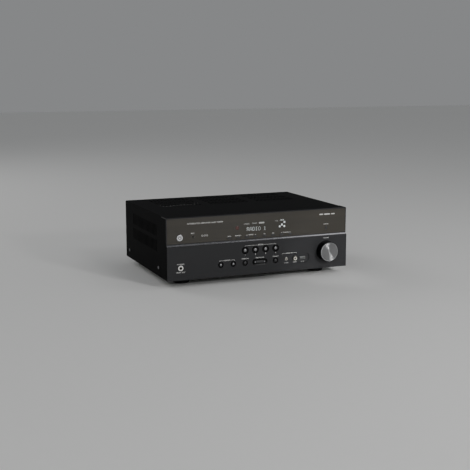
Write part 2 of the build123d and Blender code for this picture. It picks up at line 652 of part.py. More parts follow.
# ---- power amplifier: board, heat sink, transistors and reservoir capacitors ---------------------
AMP_X, AMP_BOARD_Z = 50.0, FLOOR_TOP + 12.0
SINK_FRONT, SINK_LENGTH = 0.0, 236.0
with BuildPart() as amplifier_board:
    with BuildSketch(Plane.XY.offset(AMP_BOARD_Z)):
        with Locations((AMP_X, -51.0)):
            Rectangle(250.0, 96.0)
    extrude(amount=BOARD_THICK)
    with BuildSketch(Plane.XY.offset(FLOOR_TOP)):
        with Locations((AMP_X, -51.0)):
            with GridLocations(115.0, 80.0, 3, 2):
                Circle(3.0)
    extrude(amount=AMP_BOARD_Z - FLOOR_TOP)
finish(amplifier_board.part, "amplifier_board")

with BuildPart() as heat_sink:
    with BuildSketch(Plane.XY.offset(FLOOR_TOP)):
        with Locations((AMP_X, SINK_FRONT + 3.0)):
            Rectangle(SINK_LENGTH, 6.0)
        with Locations((AMP_X, SINK_FRONT + 18.0)):
            with GridLocations(9.0, 1.0, 27, 1):
                Rectangle(1.6, 30.0)
    extrude(amount=84.0)
finish(heat_sink.part, "heat_sink")

with BuildPart() as power_transistors:
    with BuildSketch(facing(SINK_FRONT)):
        with Locations((AMP_X, FLOOR_TOP + 52.0)):
            with GridLocations(22.0, 1.0, 10, 1):
                Rectangle(16.0, 21.0)
    extrude(amount=5.0)
    with BuildSketch(facing(SINK_FRONT - 2.0)):
        with Locations((AMP_X, FLOOR_TOP + 28.0)):
            with GridLocations(22.0, 1.0, 10, 1):
                with GridLocations(5.4, 1.0, 3, 1):
                    Rectangle(1.2, 27.0)
    extrude(amount=0.7)
finish(power_transistors.part, "power_transistors")

with BuildPart() as filter_capacitors:
    with BuildSketch(Plane.XY.offset(AMP_BOARD_Z + BOARD_THICK)):
        with Locations((10.0, -65.0), (56.0, -65.0)):
            Circle(17.5)
    extrude(amount=50.0)
    chamfer(filter_capacitors.edges().group_by(Axis.Z)[-1], 1.2)
finish(filter_capacitors.part, "filter_capacitors")

# ---- signal boards and the rear sockets --------------------------------------------------------------
SIGNAL_TOP = PORT_Z - 3.2
with BuildPart() as digital_board:
    with BuildSketch(Plane.XY.offset(SIGNAL_TOP - BOARD_THICK)):
        with Locations((66.0, 97.0)):
            Rectangle(172.0, 112.0)
    extrude(amount=BOARD_THICK)
    with BuildSketch(Plane.XY.offset(SIGNAL_TOP)):
        with Locations((50.0, 90.0)):
            Rectangle(28.0, 28.0)
        with Locations((100.0, 84.0)):
            Rectangle(22.0, 22.0)
        with Locations((10.0, 76.0)):
            Rectangle(14.0, 20.0)
    extrude(amount=2.0)
finish(digital_board.part, "digital_board")

with BuildPart() as av_sockets:
    with BuildSketch(facing(REAR_Y + 0.8)):
        for x in PORT_X:
            with Locations((x, PORT_Z)):
                Rectangle(15.0, 6.2)
    extrude(amount=13.0)
    with BuildSketch(facing(REAR_Y + 0.8)):
        for x in PORT_X:
            with Locations((x, PORT_Z)):
                Rectangle(14.0, 5.2)
            with Locations((x, PORT_Z + 0.3)):
                Rectangle(10.6, 1.4, mode=Mode.SUBTRACT)
    extrude(amount=9.0, mode=Mode.SUBTRACT)
finish(av_sockets.part, "av_sockets")

with BuildPart() as phono_sockets:
    with BuildSketch(facing(REAR_Y - SHEET - 0.1)):
        with Locations((sum(PHONO_X) / 6, sum(PHONO_Z) / 2)):
            Rectangle(92.0, 31.0)
    extrude(amount=12.0)
    for x in PHONO_X:
        for z in PHONO_Z:
            with BuildSketch(facing(REAR_Y - SHEET - 0.1)):
                with Locations((x, z)):
                    Circle(PHONO_BARREL)
            extrude(amount=-(PHONO_REACH + SHEET + 0.1))
            with BuildSketch(facing(REAR_Y + PHONO_REACH)):
                with Locations((x, z)):
                    Circle(PHONO_HOLE)
            extrude(amount=14.0, mode=Mode.SUBTRACT)
finish(phono_sockets.part, "phono_sockets")

TUNER_TIP = REAR_Y + 8.8
with BuildPart() as tuner_module:
    with BuildSketch(facing(REAR_Y - SHEET - 0.2)):
        with Locations((TUNER_X, TUNER_Z)):
            Rectangle(48.0, 22.0)
    extrude(amount=56.0)
    with BuildSketch(facing(REAR_Y - SHEET - 0.2)):
        with Locations((TUNER_X, TUNER_Z)):
            Circle(5.6)
    extrude(amount=-10.0)
    with BuildSketch(facing(TUNER_TIP)):
        with Locations((TUNER_X, TUNER_Z)):
            Circle(1.2)
    extrude(amount=14.0, mode=Mode.SUBTRACT)
finish(tuner_module.part, "tuner_module")

# ---- speaker terminals: four screw posts and six spring clips ---------------------------------------
post_places = [(x, z) for x in POST_X for z in POST_Z]
POST_BASE = REAR_Y + 3.4  # a fully turned cap starts here
with BuildPart() as binding_posts:
    with BuildSketch(facing(REAR_Y + 3.0)):
        with Locations(*post_places):
            Circle(9.2)
    extrude(amount=2.9)
    with BuildSketch(facing(REAR_Y + 0.1)):
        with Locations(*post_places):
            Circle(6.0)
    extrude(amount=5.0)
    with BuildSketch(facing(REAR_Y + 15.4)):
        with Locations(*post_places):
            Circle(STUD_RADIUS)
    extrude(amount=28.0)
finish(binding_posts.part, "binding_posts")

for number, (x, z) in enumerate(post_places, start=1):
    with BuildPart() as cap:
        with BuildSketch(facing(REAR_Y + POST_REACH)):
            with Locations((x, z)):
                Circle(POST_RADIUS)
                with PolarLocations(POST_RADIUS + 0.4, 12):
                    Circle(1.1, mode=Mode.SUBTRACT)
        extrude(amount=REAR_Y + POST_REACH - POST_BASE)
        with BuildSketch(facing(POST_BASE)):
            with Locations((x, z)):
                Circle(STUD_RADIUS + 0.06)
        extrude(amount=-12.6, mode=Mode.SUBTRACT)
    finish(cap.part, f"post_cap_{number}")

LEVER_PIVOT_Y = REAR_Y - 2.0
LEVER_Z = CLIP_Z + 5.0
LEVER_HALF = 1.8  # half the lever's thickness, and the radius of its pivot end
with BuildPart() as speaker_block:
    with BuildSketch(facing(REAR_Y + 6.0)):
        with Locations((sum(CLIP_X) / 6, CLIP_Z)):
            RectangleRounded(81.0, 29.0, 1.5)
    extrude(amount=18.0)
    for x in CLIP_X:
        with BuildSketch(facing(REAR_Y + 6.0)):
            with Locations((x, CLIP_Z + 3.6)):
                Rectangle(10.0, 14.8)
        extrude(amount=11.0, mode=Mode.SUBTRACT)
        with BuildSketch(facing(REAR_Y + 6.0)):
            with Locations((x, CLIP_Z - 9.0)):
                Circle(1.9)
        extrude(amount=12.0, mode=Mode.SUBTRACT)
finish(speaker_block.part, "speaker_block")

for number, x in enumerate(CLIP_X, start=1):
    with BuildPart() as lever:
        with BuildSketch(Plane.YZ.offset(x - 4.4)):
            with BuildLine():
                Polyline(
                    (LEVER_PIVOT_Y, LEVER_Z + LEVER_HALF),
                    (LEVER_PIVOT_Y, LEVER_Z - LEVER_HALF),
                    (LEVER_PIVOT_Y + 8.0, LEVER_Z - LEVER_HALF),
                    (LEVER_PIVOT_Y + 14.0, LEVER_Z + 0.2),
                    (LEVER_PIVOT_Y + 14.0, LEVER_Z + 3.4),
                    (LEVER_PIVOT_Y + 8.0, LEVER_Z + LEVER_HALF),
                    close=True,
                )
            make_face()
            with Locations((LEVER_PIVOT_Y, LEVER_Z)):
                Circle(LEVER_HALF)
        extrude(amount=8.8)
    finish(lever.part, f"clip_lever_{number}")

# ---- mains inlet: recessed, with two round-ended pins ------------------------------------------------
with BuildPart() as ac_inlet:
    with BuildSketch(facing(REAR_Y + 2.1)):
        with Locations((INLET_X, INLET_Z)):
            RectangleRounded(33.0, 26.0, 2.0)
    extrude(amount=2.0)
    with BuildSketch(facing(REAR_Y + 0.1)):
        with Locations((INLET_X, INLET_Z)):
            Rectangle(27.0, 20.0)
    extrude(amount=24.0)
    with BuildSketch(facing(REAR_Y + 2.1)):
        with Locations((INLET_X, INLET_Z)):
            SlotOverall(20.0, 12.0)
    extrude(amount=17.0, mode=Mode.SUBTRACT)
    # the two pins, standing on the floor of the recess
    with BuildSketch(facing(REAR_Y - 14.9)):
        with Locations((INLET_X - 4.3, INLET_Z), (INLET_X + 4.3, INLET_Z)):
            Circle(1.2)
    extrude(amount=-12.0)
finish(ac_inlet.part, "ac_inlet")
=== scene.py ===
"""Looks for a full-width integrated receiver amplifier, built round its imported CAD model.

The pieces' lengths are in millimetres, in the CAD model's frame: +X to the right of someone facing the
front, +Y to the back and +Z up. Shape turns them into metres. Places are read from the CAD nodes, so
nothing here moves or resizes a CAD piece. The studio's own lengths are in metres.
"""

import json
import logging
import math
from dataclasses import dataclass
from enum import Enum

import bmesh
import bpy
from mathutils import Matrix, Vector


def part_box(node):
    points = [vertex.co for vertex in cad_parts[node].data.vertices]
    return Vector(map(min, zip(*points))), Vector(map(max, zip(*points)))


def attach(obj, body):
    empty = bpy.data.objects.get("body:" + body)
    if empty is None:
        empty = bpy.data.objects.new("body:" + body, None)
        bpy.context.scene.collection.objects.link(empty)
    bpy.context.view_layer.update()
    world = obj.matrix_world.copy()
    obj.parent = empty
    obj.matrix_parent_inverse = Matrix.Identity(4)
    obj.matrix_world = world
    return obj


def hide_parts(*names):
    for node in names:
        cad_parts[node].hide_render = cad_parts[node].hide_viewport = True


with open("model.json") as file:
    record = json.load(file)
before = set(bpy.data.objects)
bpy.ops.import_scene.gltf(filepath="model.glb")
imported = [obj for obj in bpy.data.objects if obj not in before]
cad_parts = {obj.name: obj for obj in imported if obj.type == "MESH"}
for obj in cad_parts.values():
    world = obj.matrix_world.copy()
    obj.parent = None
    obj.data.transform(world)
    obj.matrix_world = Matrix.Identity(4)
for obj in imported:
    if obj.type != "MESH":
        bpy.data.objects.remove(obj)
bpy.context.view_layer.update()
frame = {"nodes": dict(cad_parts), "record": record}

LOG = logging.getLogger("amplifier")
MM = 0.001
Outline = list[tuple[float, float]]


# ---- small tools -------------------------------------------------------------------------------


def linear(hex_colour: str) -> tuple[float, float, float, float]:
    """Turns an sRGB hex colour into the opaque linear colour that a shader takes.

    Args:
        hex_colour: six hex digits, such as "2a2a2b".

    Returns:
        The linear red, green and blue, and an alpha of one.
    """
    channels = [int(hex_colour[i : i + 2], 16) / 255 for i in (0, 2, 4)]
    red, green, blue = (c / 12.92 if c <= 0.04045 else ((c + 0.055) / 1.055) ** 2.4 for c in channels)
    return (red, green, blue, 1.0)


def per_mm(size: float) -> float:
    """Returns the texture scale at which one cell of a pattern is this many millimetres across."""
    return 1.0 / (size * MM)


def box(node: str) -> tuple[Vector, Vector]:
    """Returns the low and the high corner of a CAD node's box, in millimetres."""
    low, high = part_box(node)
    return low / MM, high / MM


def middle(node: str) -> Vector:
    """Returns the middle of a CAD node's box, in millimetres."""
    low, high = box(node)
    return (low + high) / 2


def arc(centre: tuple[float, float], radius: float, start: float, end: float, steps: int = 6) -> Outline:
    """Returns points along an arc.

    Args:
        centre: the arc's centre.
        radius: its radius.
        start: the first point's angle in degrees.
        end: the last point's angle.
        steps: how many pieces the arc is cut into.

    Returns:
        The points, both ends among them.
    """
    angles = [math.radians(start + (end - start) * i / steps) for i in range(steps + 1)]
    return [(centre[0] + radius * math.cos(a), centre[1] + radius * math.sin(a)) for a in angles]


def rounded(width: float, height: float, corner: float, steps: int = 6) -> Outline:
    """Returns a rounded rectangle's outline about the origin.

    Args:
        width: its whole width.
        height: its whole height.
        corner: its corner radius, cut to just under half a side.
        steps: how many pieces each corner has.

    Returns:
        The outline's points, counter-clockwise.
    """
    corner = min(corner, width / 2 - 0.001, height / 2 - 0.001)
    x, y = width / 2 - corner, height / 2 - corner
    quarters = ((x, y, 0), (-x, y, 90), (-x, -y, 180), (x, -y, 270))
    return [p for cx, cy, a in quarters for p in arc((cx, cy), corner, a, a + 90, steps)]


class Facing(Enum):
    """The way that a piece's outer end looks, as a direction."""

    FRONT = (0, -1, 0)
    BACK = (0, 1, 0)
    LEFT = (-1, 0, 0)
    RIGHT = (1, 0, 0)
    DOWN = (0, 0, -1)

    def turn(self) -> Matrix:
        """Returns the rotation that takes +Z to this direction."""
        return Vector((0, 0, 1)).rotation_difference(Vector(self.value)).to_matrix().to_4x4()


# ---- finishes ----------------------------------------------------------------------------------


def add_node(
    tree: bpy.types.NodeTree,
    kind: str,
    links: dict[str | int, bpy.types.NodeSocket] | None = None,
    values: dict[str | int, object] | None = None,
    **settings: object,
) -> bpy.types.Node:
    """Adds one shader node.

    Args:
        tree: the material's node tree.
        kind: the node's type, such as "ShaderNodeTexNoise".
        links: the sockets to feed, each with the output that feeds it.
        values: the sockets to set, each with its value.
        settings: the node's own properties.

    Returns:
        The new node.
    """
    node = tree.nodes.new(kind)
    for name, value in settings.items():
        setattr(node, name, value)
    for name, value in (values or {}).items():
        node.inputs[name].default_value = value
    for name, source in (links or {}).items():
        tree.links.new(source, node.inputs[name])
    return node


@dataclass(frozen=True)
class Ground:
    """What a finish's patterns are drawn on.

    Args:
        tree: the material's nodes.
        shader: its shader.
        place: the coordinates that the patterns follow.
    """

    tree: bpy.types.NodeTree
    shader: bpy.types.Node
    place: bpy.types.NodeSocket

    def feed(self, socket: str, source: bpy.types.NodeSocket) -> None:
        """Links an output to one of the shader's sockets."""
        self.tree.links.new(source, self.shader.inputs[socket])

    def spread(self, source: bpy.types.NodeSocket, low: float, high: float) -> None:
        """Lets a pattern move the roughness between two values.

        Args:
            source: the pattern.
            low: the roughness where the pattern is nought.
            high: the roughness where it is one.
        """
        ends = {"To Min": low, "To Max": high}
        rough = add_node(self.tree, "ShaderNodeMapRange", {"Value": source}, ends)
        self.feed("Roughness", rough.outputs[0])

    def relief(self, source: bpy.types.NodeSocket, strength: float, depth: float) -> None:
        """Raises a pattern from the surface.

        Args:
            source: the pattern.
            strength: how much of the relief shows.
            depth: its depth in millimetres.
        """
        sizes = {"Strength": strength, "Distance": depth * MM}
        bump = add_node(self.tree, "ShaderNodeBump", {"Height": source}, sizes)
        self.feed("Normal", bump.outputs[0])

    def blend(self, source: bpy.types.NodeSocket, low: tuple, high: tuple) -> None:
        """Lets a pattern move the base colour between two colours.

        Args:
            source: the pattern.
            low: the linear colour where the pattern is nought.
            high: the linear colour where it is one.
        """
        tones = {6: low, 7: high}
        tone = add_node(self.tree, "ShaderNodeMix", {"Factor": source}, tones, data_type="RGBA")
        self.feed("Base Color", tone.outputs[2])


@dataclass(frozen=True)
class Finish:
    """A material: what it is made of and how its surface was made.

    Args:
        name: the material's name.
        colour: its base colour in sRGB hex.
        roughness: the middle of its roughness.
        metallic: 1 for a bare metal.
        ior: its index of refraction.
        grain: the size in millimetres of its surface's grain.
        depth: the grain's depth in millimetres, or 0.
        mottle: how far the colour varies over the surface, from 0 to 1.
        stretch: how far the grain is drawn out along X, Y and Z: a small number lengthens it.
        coat: the weight of a clear coat.
        coat_roughness: that coat's roughness.
        anisotropic: how far a highlight is drawn out.
        emission: the strength of its own light.
        clear: how much light goes through it, from 0 to 1.
        specular: the strength of its plain reflection, 0.5 being the index's own.
        turned_across: how far its drawn-out highlight is turned from the tangent, 0.25 being across it.
    """

    name: str
    colour: str
    roughness: float = 0.5
    metallic: float = 0.0
    ior: float = 1.5
    grain: float = 0.5
    depth: float = 0.01
    mottle: float = 0.06
    stretch: tuple[float, float, float] = (1.0, 1.0, 1.0)
    coat: float = 0.0
    coat_roughness: float = 0.05
    anisotropic: float = 0.0
    emission: float = 0.0
    clear: float = 0.0
    specular: float = 0.5
    turned_across: float = 0.0

    def material(self) -> bpy.types.Material:
        """Makes the finish's material the first time that it is asked for.

        Returns:
            The material.
        """
        known = bpy.data.materials.get(self.name)
        if known is not None:
            return known
        made = bpy.data.materials.new(self.name)
        made.use_nodes = True
        tree = made.node_tree
        tree.nodes.clear()
        shader = add_node(tree, "ShaderNodeBsdfPrincipled")
        add_node(tree, "ShaderNodeOutputMaterial", {"Surface": shader.outputs[0]})
        self.set_constants(shader)
        own = add_node(tree, "ShaderNodeTexCoord").outputs["Object"]
        drawn_out = add_node(tree, "ShaderNodeMapping", {"Vector": own}, {"Scale": self.stretch})
        ground = Ground(tree, shader, drawn_out.outputs[0])
        self.colour_nodes(ground)
        self.surface_nodes(ground)
        return made

    def set_constants(self, shader: bpy.types.Node) -> None:
        """Sets what is the same all over the surface.

        Args:
            shader: the material's shader.
        """
        constants = {
            "Metallic": self.metallic,
            "Coat Weight": self.coat,
            "Coat Roughness": self.coat_roughness,
            "Anisotropic": self.anisotropic,
            "Anisotropic Rotation": self.turned_across,
            "Specular IOR Level": self.specular,
            "Transmission Weight": self.clear,
            "Emission Color": linear(self.colour),
            "Emission Strength": self.emission,
        }
        if not self.metallic:
            constants["IOR"] = self.ior
        for name, value in constants.items():
            shader.inputs[name].default_value = value

    def colour_nodes(self, ground: Ground) -> None:
        """Gives the base colour its slow, uneven tone.

        Args:
            ground: what it is drawn on.
        """
        size = {"Scale": per_mm(18.0), "Detail": 4.0}
        cloud = add_node(ground.tree, "ShaderNodeTexNoise", {"Vector": ground.place}, size)
        base = linear(self.colour)[:3]
        low, high = (tuple(min(1.0, c * (1 + way * self.mottle)) for c in base) for way in (-1, 1))
        ground.blend(cloud.outputs["Fac"], (*low, 1.0), (*high, 1.0))

    def surface_nodes(self, ground: Ground) -> None:
        """Gives the roughness its unevenness and the surface its grain.

        Args:
            ground: what they are drawn on.
        """
        size = {"Scale": per_mm(self.grain), "Detail": 3.0}
        fine = add_node(ground.tree, "ShaderNodeTexNoise", {"Vector": ground.place}, size).outputs["Fac"]
        ground.spread(fine, max(0.02, self.roughness - 0.07), min(1.0, self.roughness + 0.07))
        if self.depth:
            ground.relief(fine, 1.0, self.depth)


@dataclass(frozen=True)
class SpunMetal(Finish):
    """A metal face that was turned or spun, so its fine grooves run round its centre."""

    def surface_nodes(self, ground: Ground) -> None:
        """Gives the face its rings and turns its highlights across them.

        Args:
            ground: what they are drawn on.
        """
        rings = add_node(
            ground.tree,
            "ShaderNodeTexWave",
            {"Vector": ground.place},
            {"Scale": per_mm(self.grain) / 20, "Distortion": 0.6, "Detail": 2.0},
            wave_type="RINGS",
            rings_direction="Y",
        ).outputs["Fac"]
        ground.spread(rings, self.roughness - 0.04, self.roughness + 0.04)
        ground.relief(rings, 0.5, self.depth)
        round_it = add_node(ground.tree, "ShaderNodeTangent", direction_type="RADIAL", axis="Y")
        ground.feed("Tangent", round_it.outputs[0])


@dataclass(frozen=True)
class Banded(Finish):
    """A finish with straight bands, such as stacked laminations or windings.

    Args:
        second: the colour between the bands, in sRGB hex.
        direction: the axis that the bands follow one another along.
    """

    second: str = "000000"
    direction: str = "Z"

    def colour_nodes(self, ground: Ground) -> None:
        """Draws the bands.

        Args:
            ground: what they are drawn on.
        """
        bands = add_node(
            ground.tree,
            "ShaderNodeTexWave",
            {"Vector": ground.place},
            {"Scale": per_mm(self.grain) / 20, "Distortion": 0.4, "Detail": 2.0},
            bands_direction=self.direction,
        )
        ground.blend(bands.outputs["Fac"], linear(self.second), linear(self.colour))


# Moulded ABS under a matte charcoal paint: an even, slightly soft grey with a fine orange peel.
FASCIA = Finish("painted_abs_charcoal", "262628", 0.48, grain=0.35, depth=0.006, mottle=0.03, specular=0.35)
# Acrylic over a print brushed along X: brownish charcoal, long faint streaks, a glossy skin.
WINDOW = Finish(
    "printed_acrylic_brushed", "2b261c", 0.36, ior=1.49, grain=0.6, depth=0.003, mottle=0.5,
    stretch=(0.012, 1.0, 1.0), coat=0.35, coat_roughness=0.14,
)
# Satin aluminium foil strip, hot stamped on the bevel: the bright line between window and fascia, its pale
# metal partly a painted highlight for the light that the bevel's ledge catches.
BEVEL = Finish(
    "aluminium_strip_and_painted_highlight", "8f8f92", 0.26, 1.0, grain=0.4, depth=0.0004, mottle=0.04,
    stretch=(0.03, 1.0, 1.0),
)
# Steel sheet under a black powder coat: near black, broken highlights from its coarse texture.
POWDER_COAT = Finish(
    "powder_coated_steel_black", "0a0a0b", 0.6, grain=0.55, depth=0.03, mottle=0.1, specular=0.03
)
# Zinc-plated steel sheet: pale grey, faintly spangled.
ZINC = Finish("zinc_plated_steel", "a8a9a6", 0.38, 1.0, grain=2.5, depth=0.004, mottle=0.14)
# Blackened steel of the screws: dark, with worn, brighter high spots.
BLACK_SCREW = Finish("blackened_steel", "7c7c7e", 0.42, 1.0, grain=0.3, depth=0.006, mottle=0.2)
# Moulded ABS, black and satin: the knob's side and the buttons' rims, whose black round the round buttons'
# middles is painted shade of their hollows.
SATIN_BLACK = Finish("moulded_abs_satin_black", "080809", 0.36, grain=0.3, depth=0.004, specular=0.2)
# Moulded ABS, black and polished: the rings that the buttons stand in, whose black round the round buttons
# is painted shade of the hollows' walls.
GLOSS_BLACK = Finish("moulded_abs_gloss_black", "040404", 0.14, grain=1.2, depth=0.002, specular=0.3)
# Moulded rubber: flat black with a dusty bloom.
RUBBER = Finish("moulded_rubber_black", "141414", 0.82, ior=1.52, grain=0.5, depth=0.02, mottle=0.2)
# ABS painted silver grey: the rocker's arrows, and the round buttons' raised middles, whose crowns catch the
# light and whose pale grey is partly a painted highlight there and, on the input buttons, partly their
# printed arrows.
BUTTON_PAINT = Finish("painted_abs_silver_grey", "8c8c8e", 0.34, 0.6, grain=0.25, depth=0.003)
# ABS painted the fascia's charcoal, smoother than the fascia because fingers polish it.
BUTTON_DARK = Finish("painted_abs_button_charcoal", "303032", 0.36, grain=0.3, depth=0.003)
# ABS plated bright chrome: the power button's cap.
CHROME = Finish("chrome_plated_abs", "d9dadc", 0.12, 1.0, grain=1.5, depth=0.002, mottle=0.03)
# Brass under bright nickel: the sockets' rings and barrels.
NICKEL = Finish("nickel_plated_brass", "cfccc4", 0.22, 1.0, grain=0.6, depth=0.003, mottle=0.05)
# Brass under dull nickel, bead blasted: the headphone ring, white from any side.
DULL_NICKEL = Finish("blasted_nickel_plate", "f0efeb", 0.5, 0.5, grain=0.3, depth=0.003, mottle=0.03)
# Brass under thin gold: the posts' studs.
GILT = Finish("gilt_brass", "c9a14e", 0.26, 1.0, grain=0.6, depth=0.003, mottle=0.05)
# Tin-plated steel of the flat sockets' shells and the tuner's can: soft, watery reflections.
TINPLATE = Finish("tin_plated_steel", "b4b5b4", 0.3, 1.0, grain=1.4, depth=0.003, mottle=0.08)
# Spun aluminium face of the volume knob. Its grooves are drawn 0.5 mm apart, coarser than real, to show.
SPUN_ALUMINIUM = SpunMetal(
    "spun_aluminium", "8e8e8f", 0.38, 1.0, grain=0.5, depth=0.003, mottle=0.02, anisotropic=0.94,
    turned_across=0.25,
)
# Diamond-cut rim of the same aluminium: a thin, brighter line.
CUT_RIM = Finish("diamond_cut_aluminium", "d4d5d7", 0.12, 1.0, grain=0.6, depth=0.002, mottle=0.02)
# Silk-screened ink, pale grey: the lettering and lines.
INK = Finish("silk_screened_ink_grey", "e4e4e1", 0.6, grain=0.2, depth=0.001, mottle=0.04)
# The display's phosphor, seen through the window: pale and self-lit.
PHOSPHOR = Finish("display_phosphor", "dfe6e6", 0.5, depth=0.0, mottle=0.05, emission=0.48)
# The same phosphor behind a dimmer part of the drive.
PHOSPHOR_DIM = Finish("display_phosphor_dim", "a9aba8", 0.5, depth=0.0, mottle=0.05, emission=0.22)
# Deep red acrylic that only lets the remote control's light through.
EYE = Finish("infrared_acrylic_red", "4a1c18", 0.12, ior=1.49, grain=2.0, depth=0.001, coat=0.5)
# Moulded insulators of the sockets and posts, in the usual colours: smooth, with a soft shine.
IVORY = Finish("moulded_insulator_ivory", "e9e5d6", 0.4, grain=0.5, depth=0.002)
RED = Finish("moulded_insulator_red", "8d1512", 0.24, grain=0.6, depth=0.002, coat=0.4)
WHITE = Finish("moulded_insulator_white", "d8d8d4", 0.4, grain=0.5, depth=0.002)
BLACK = Finish("moulded_insulator_black", "0b0b0b", 0.4, grain=0.4, depth=0.004)
# Glass-fibre board under green solder resist: the weave shows faintly through a glossy skin.
BOARD = Finish("solder_resist_green", "1d4a2a", 0.3, ior=1.55, grain=1.2, depth=0.01, mottle=0.25)
# Silicon steel laminations, 0.5 mm thick, varnished; drawn 1 mm apart to show.
LAMINATIONS = Banded(
    "varnished_laminations", "4b4743", 0.42, 0.6, grain=1.0, depth=0.02, second="231f1d", direction="Y"
)
# Enamelled copper wire under clear tape, wound round the middle limb: close orange-brown turns.
WINDING = Banded("enamelled_copper_winding", "b06a35", 0.3, 0.7, grain=1.2, depth=0.03, second="5e2f16")
# Extruded aluminium, black anodised: a dry, dark metal with lines along the extrusion.
ANODISED = Finish(
    "black_anodised_aluminium", "232326", 0.4, 0.8, grain=0.5, depth=0.006, stretch=(1.0, 1.0, 0.04)
)
# Shrunk PVC sleeve of the reservoir capacitors: dark blue, tight and glossy.
SLEEVE = Finish("shrunk_pvc_sleeve", "16203a", 0.25, ior=1.53, grain=3.0, depth=0.01)
# Soda glass of the display tube over its dark grid: a dark mirror.
TUBE_GLASS = Finish("display_tube_glass", "15191a", 0.06, ior=1.52, grain=4.0, depth=0.0, clear=0.3)

SLOT_FINISHES: dict[str, Finish] = {
    "front_moulding": FASCIA,
    "display_window": WINDOW,
    "black_steel": POWDER_COAT,
    "zinc_steel": ZINC,
    "feet": RUBBER,
    "black_screws": BLACK_SCREW,
    "display_tube": TUBE_GLASS,
    "circuit_board": BOARD,
    "black_moulding": BLACK,
    "nickel_socket": NICKEL,
    "socket_shell": TINPLATE,
    "core_steel": LAMINATIONS,
    "copper_winding": WINDING,
    "heat_sink": ANODISED,
    "capacitor_sleeve": SLEEVE,
    "post_metal": GILT,
    "knob_body": SATIN_BLACK,
    "knob_face": SPUN_ALUMINIUM,
    "shaft_steel": TINPLATE,
    "power_button": CHROME,
    "button_caps": BUTTON_DARK,
    "black_cap": BLACK,
    "red_cap": RED,
    "black_lever": BLACK,
    "red_lever": RED,
}


def dress_cad_nodes() -> None:
    """Gives every CAD node the finish of its slot in the record."""
    slots = {entry["node"]: entry["material_slot"] for entry in frame["record"]["subparts"]}
    for node, piece in frame["nodes"].items():
        finish = SLOT_FINISHES[slots[node]]
        piece.data.materials.clear()
        piece.data.materials.append(finish.material())
        LOG.info("%s dressed in %s", node, finish.name)


# ---- shapes and print --------------------------------------------------------------------------


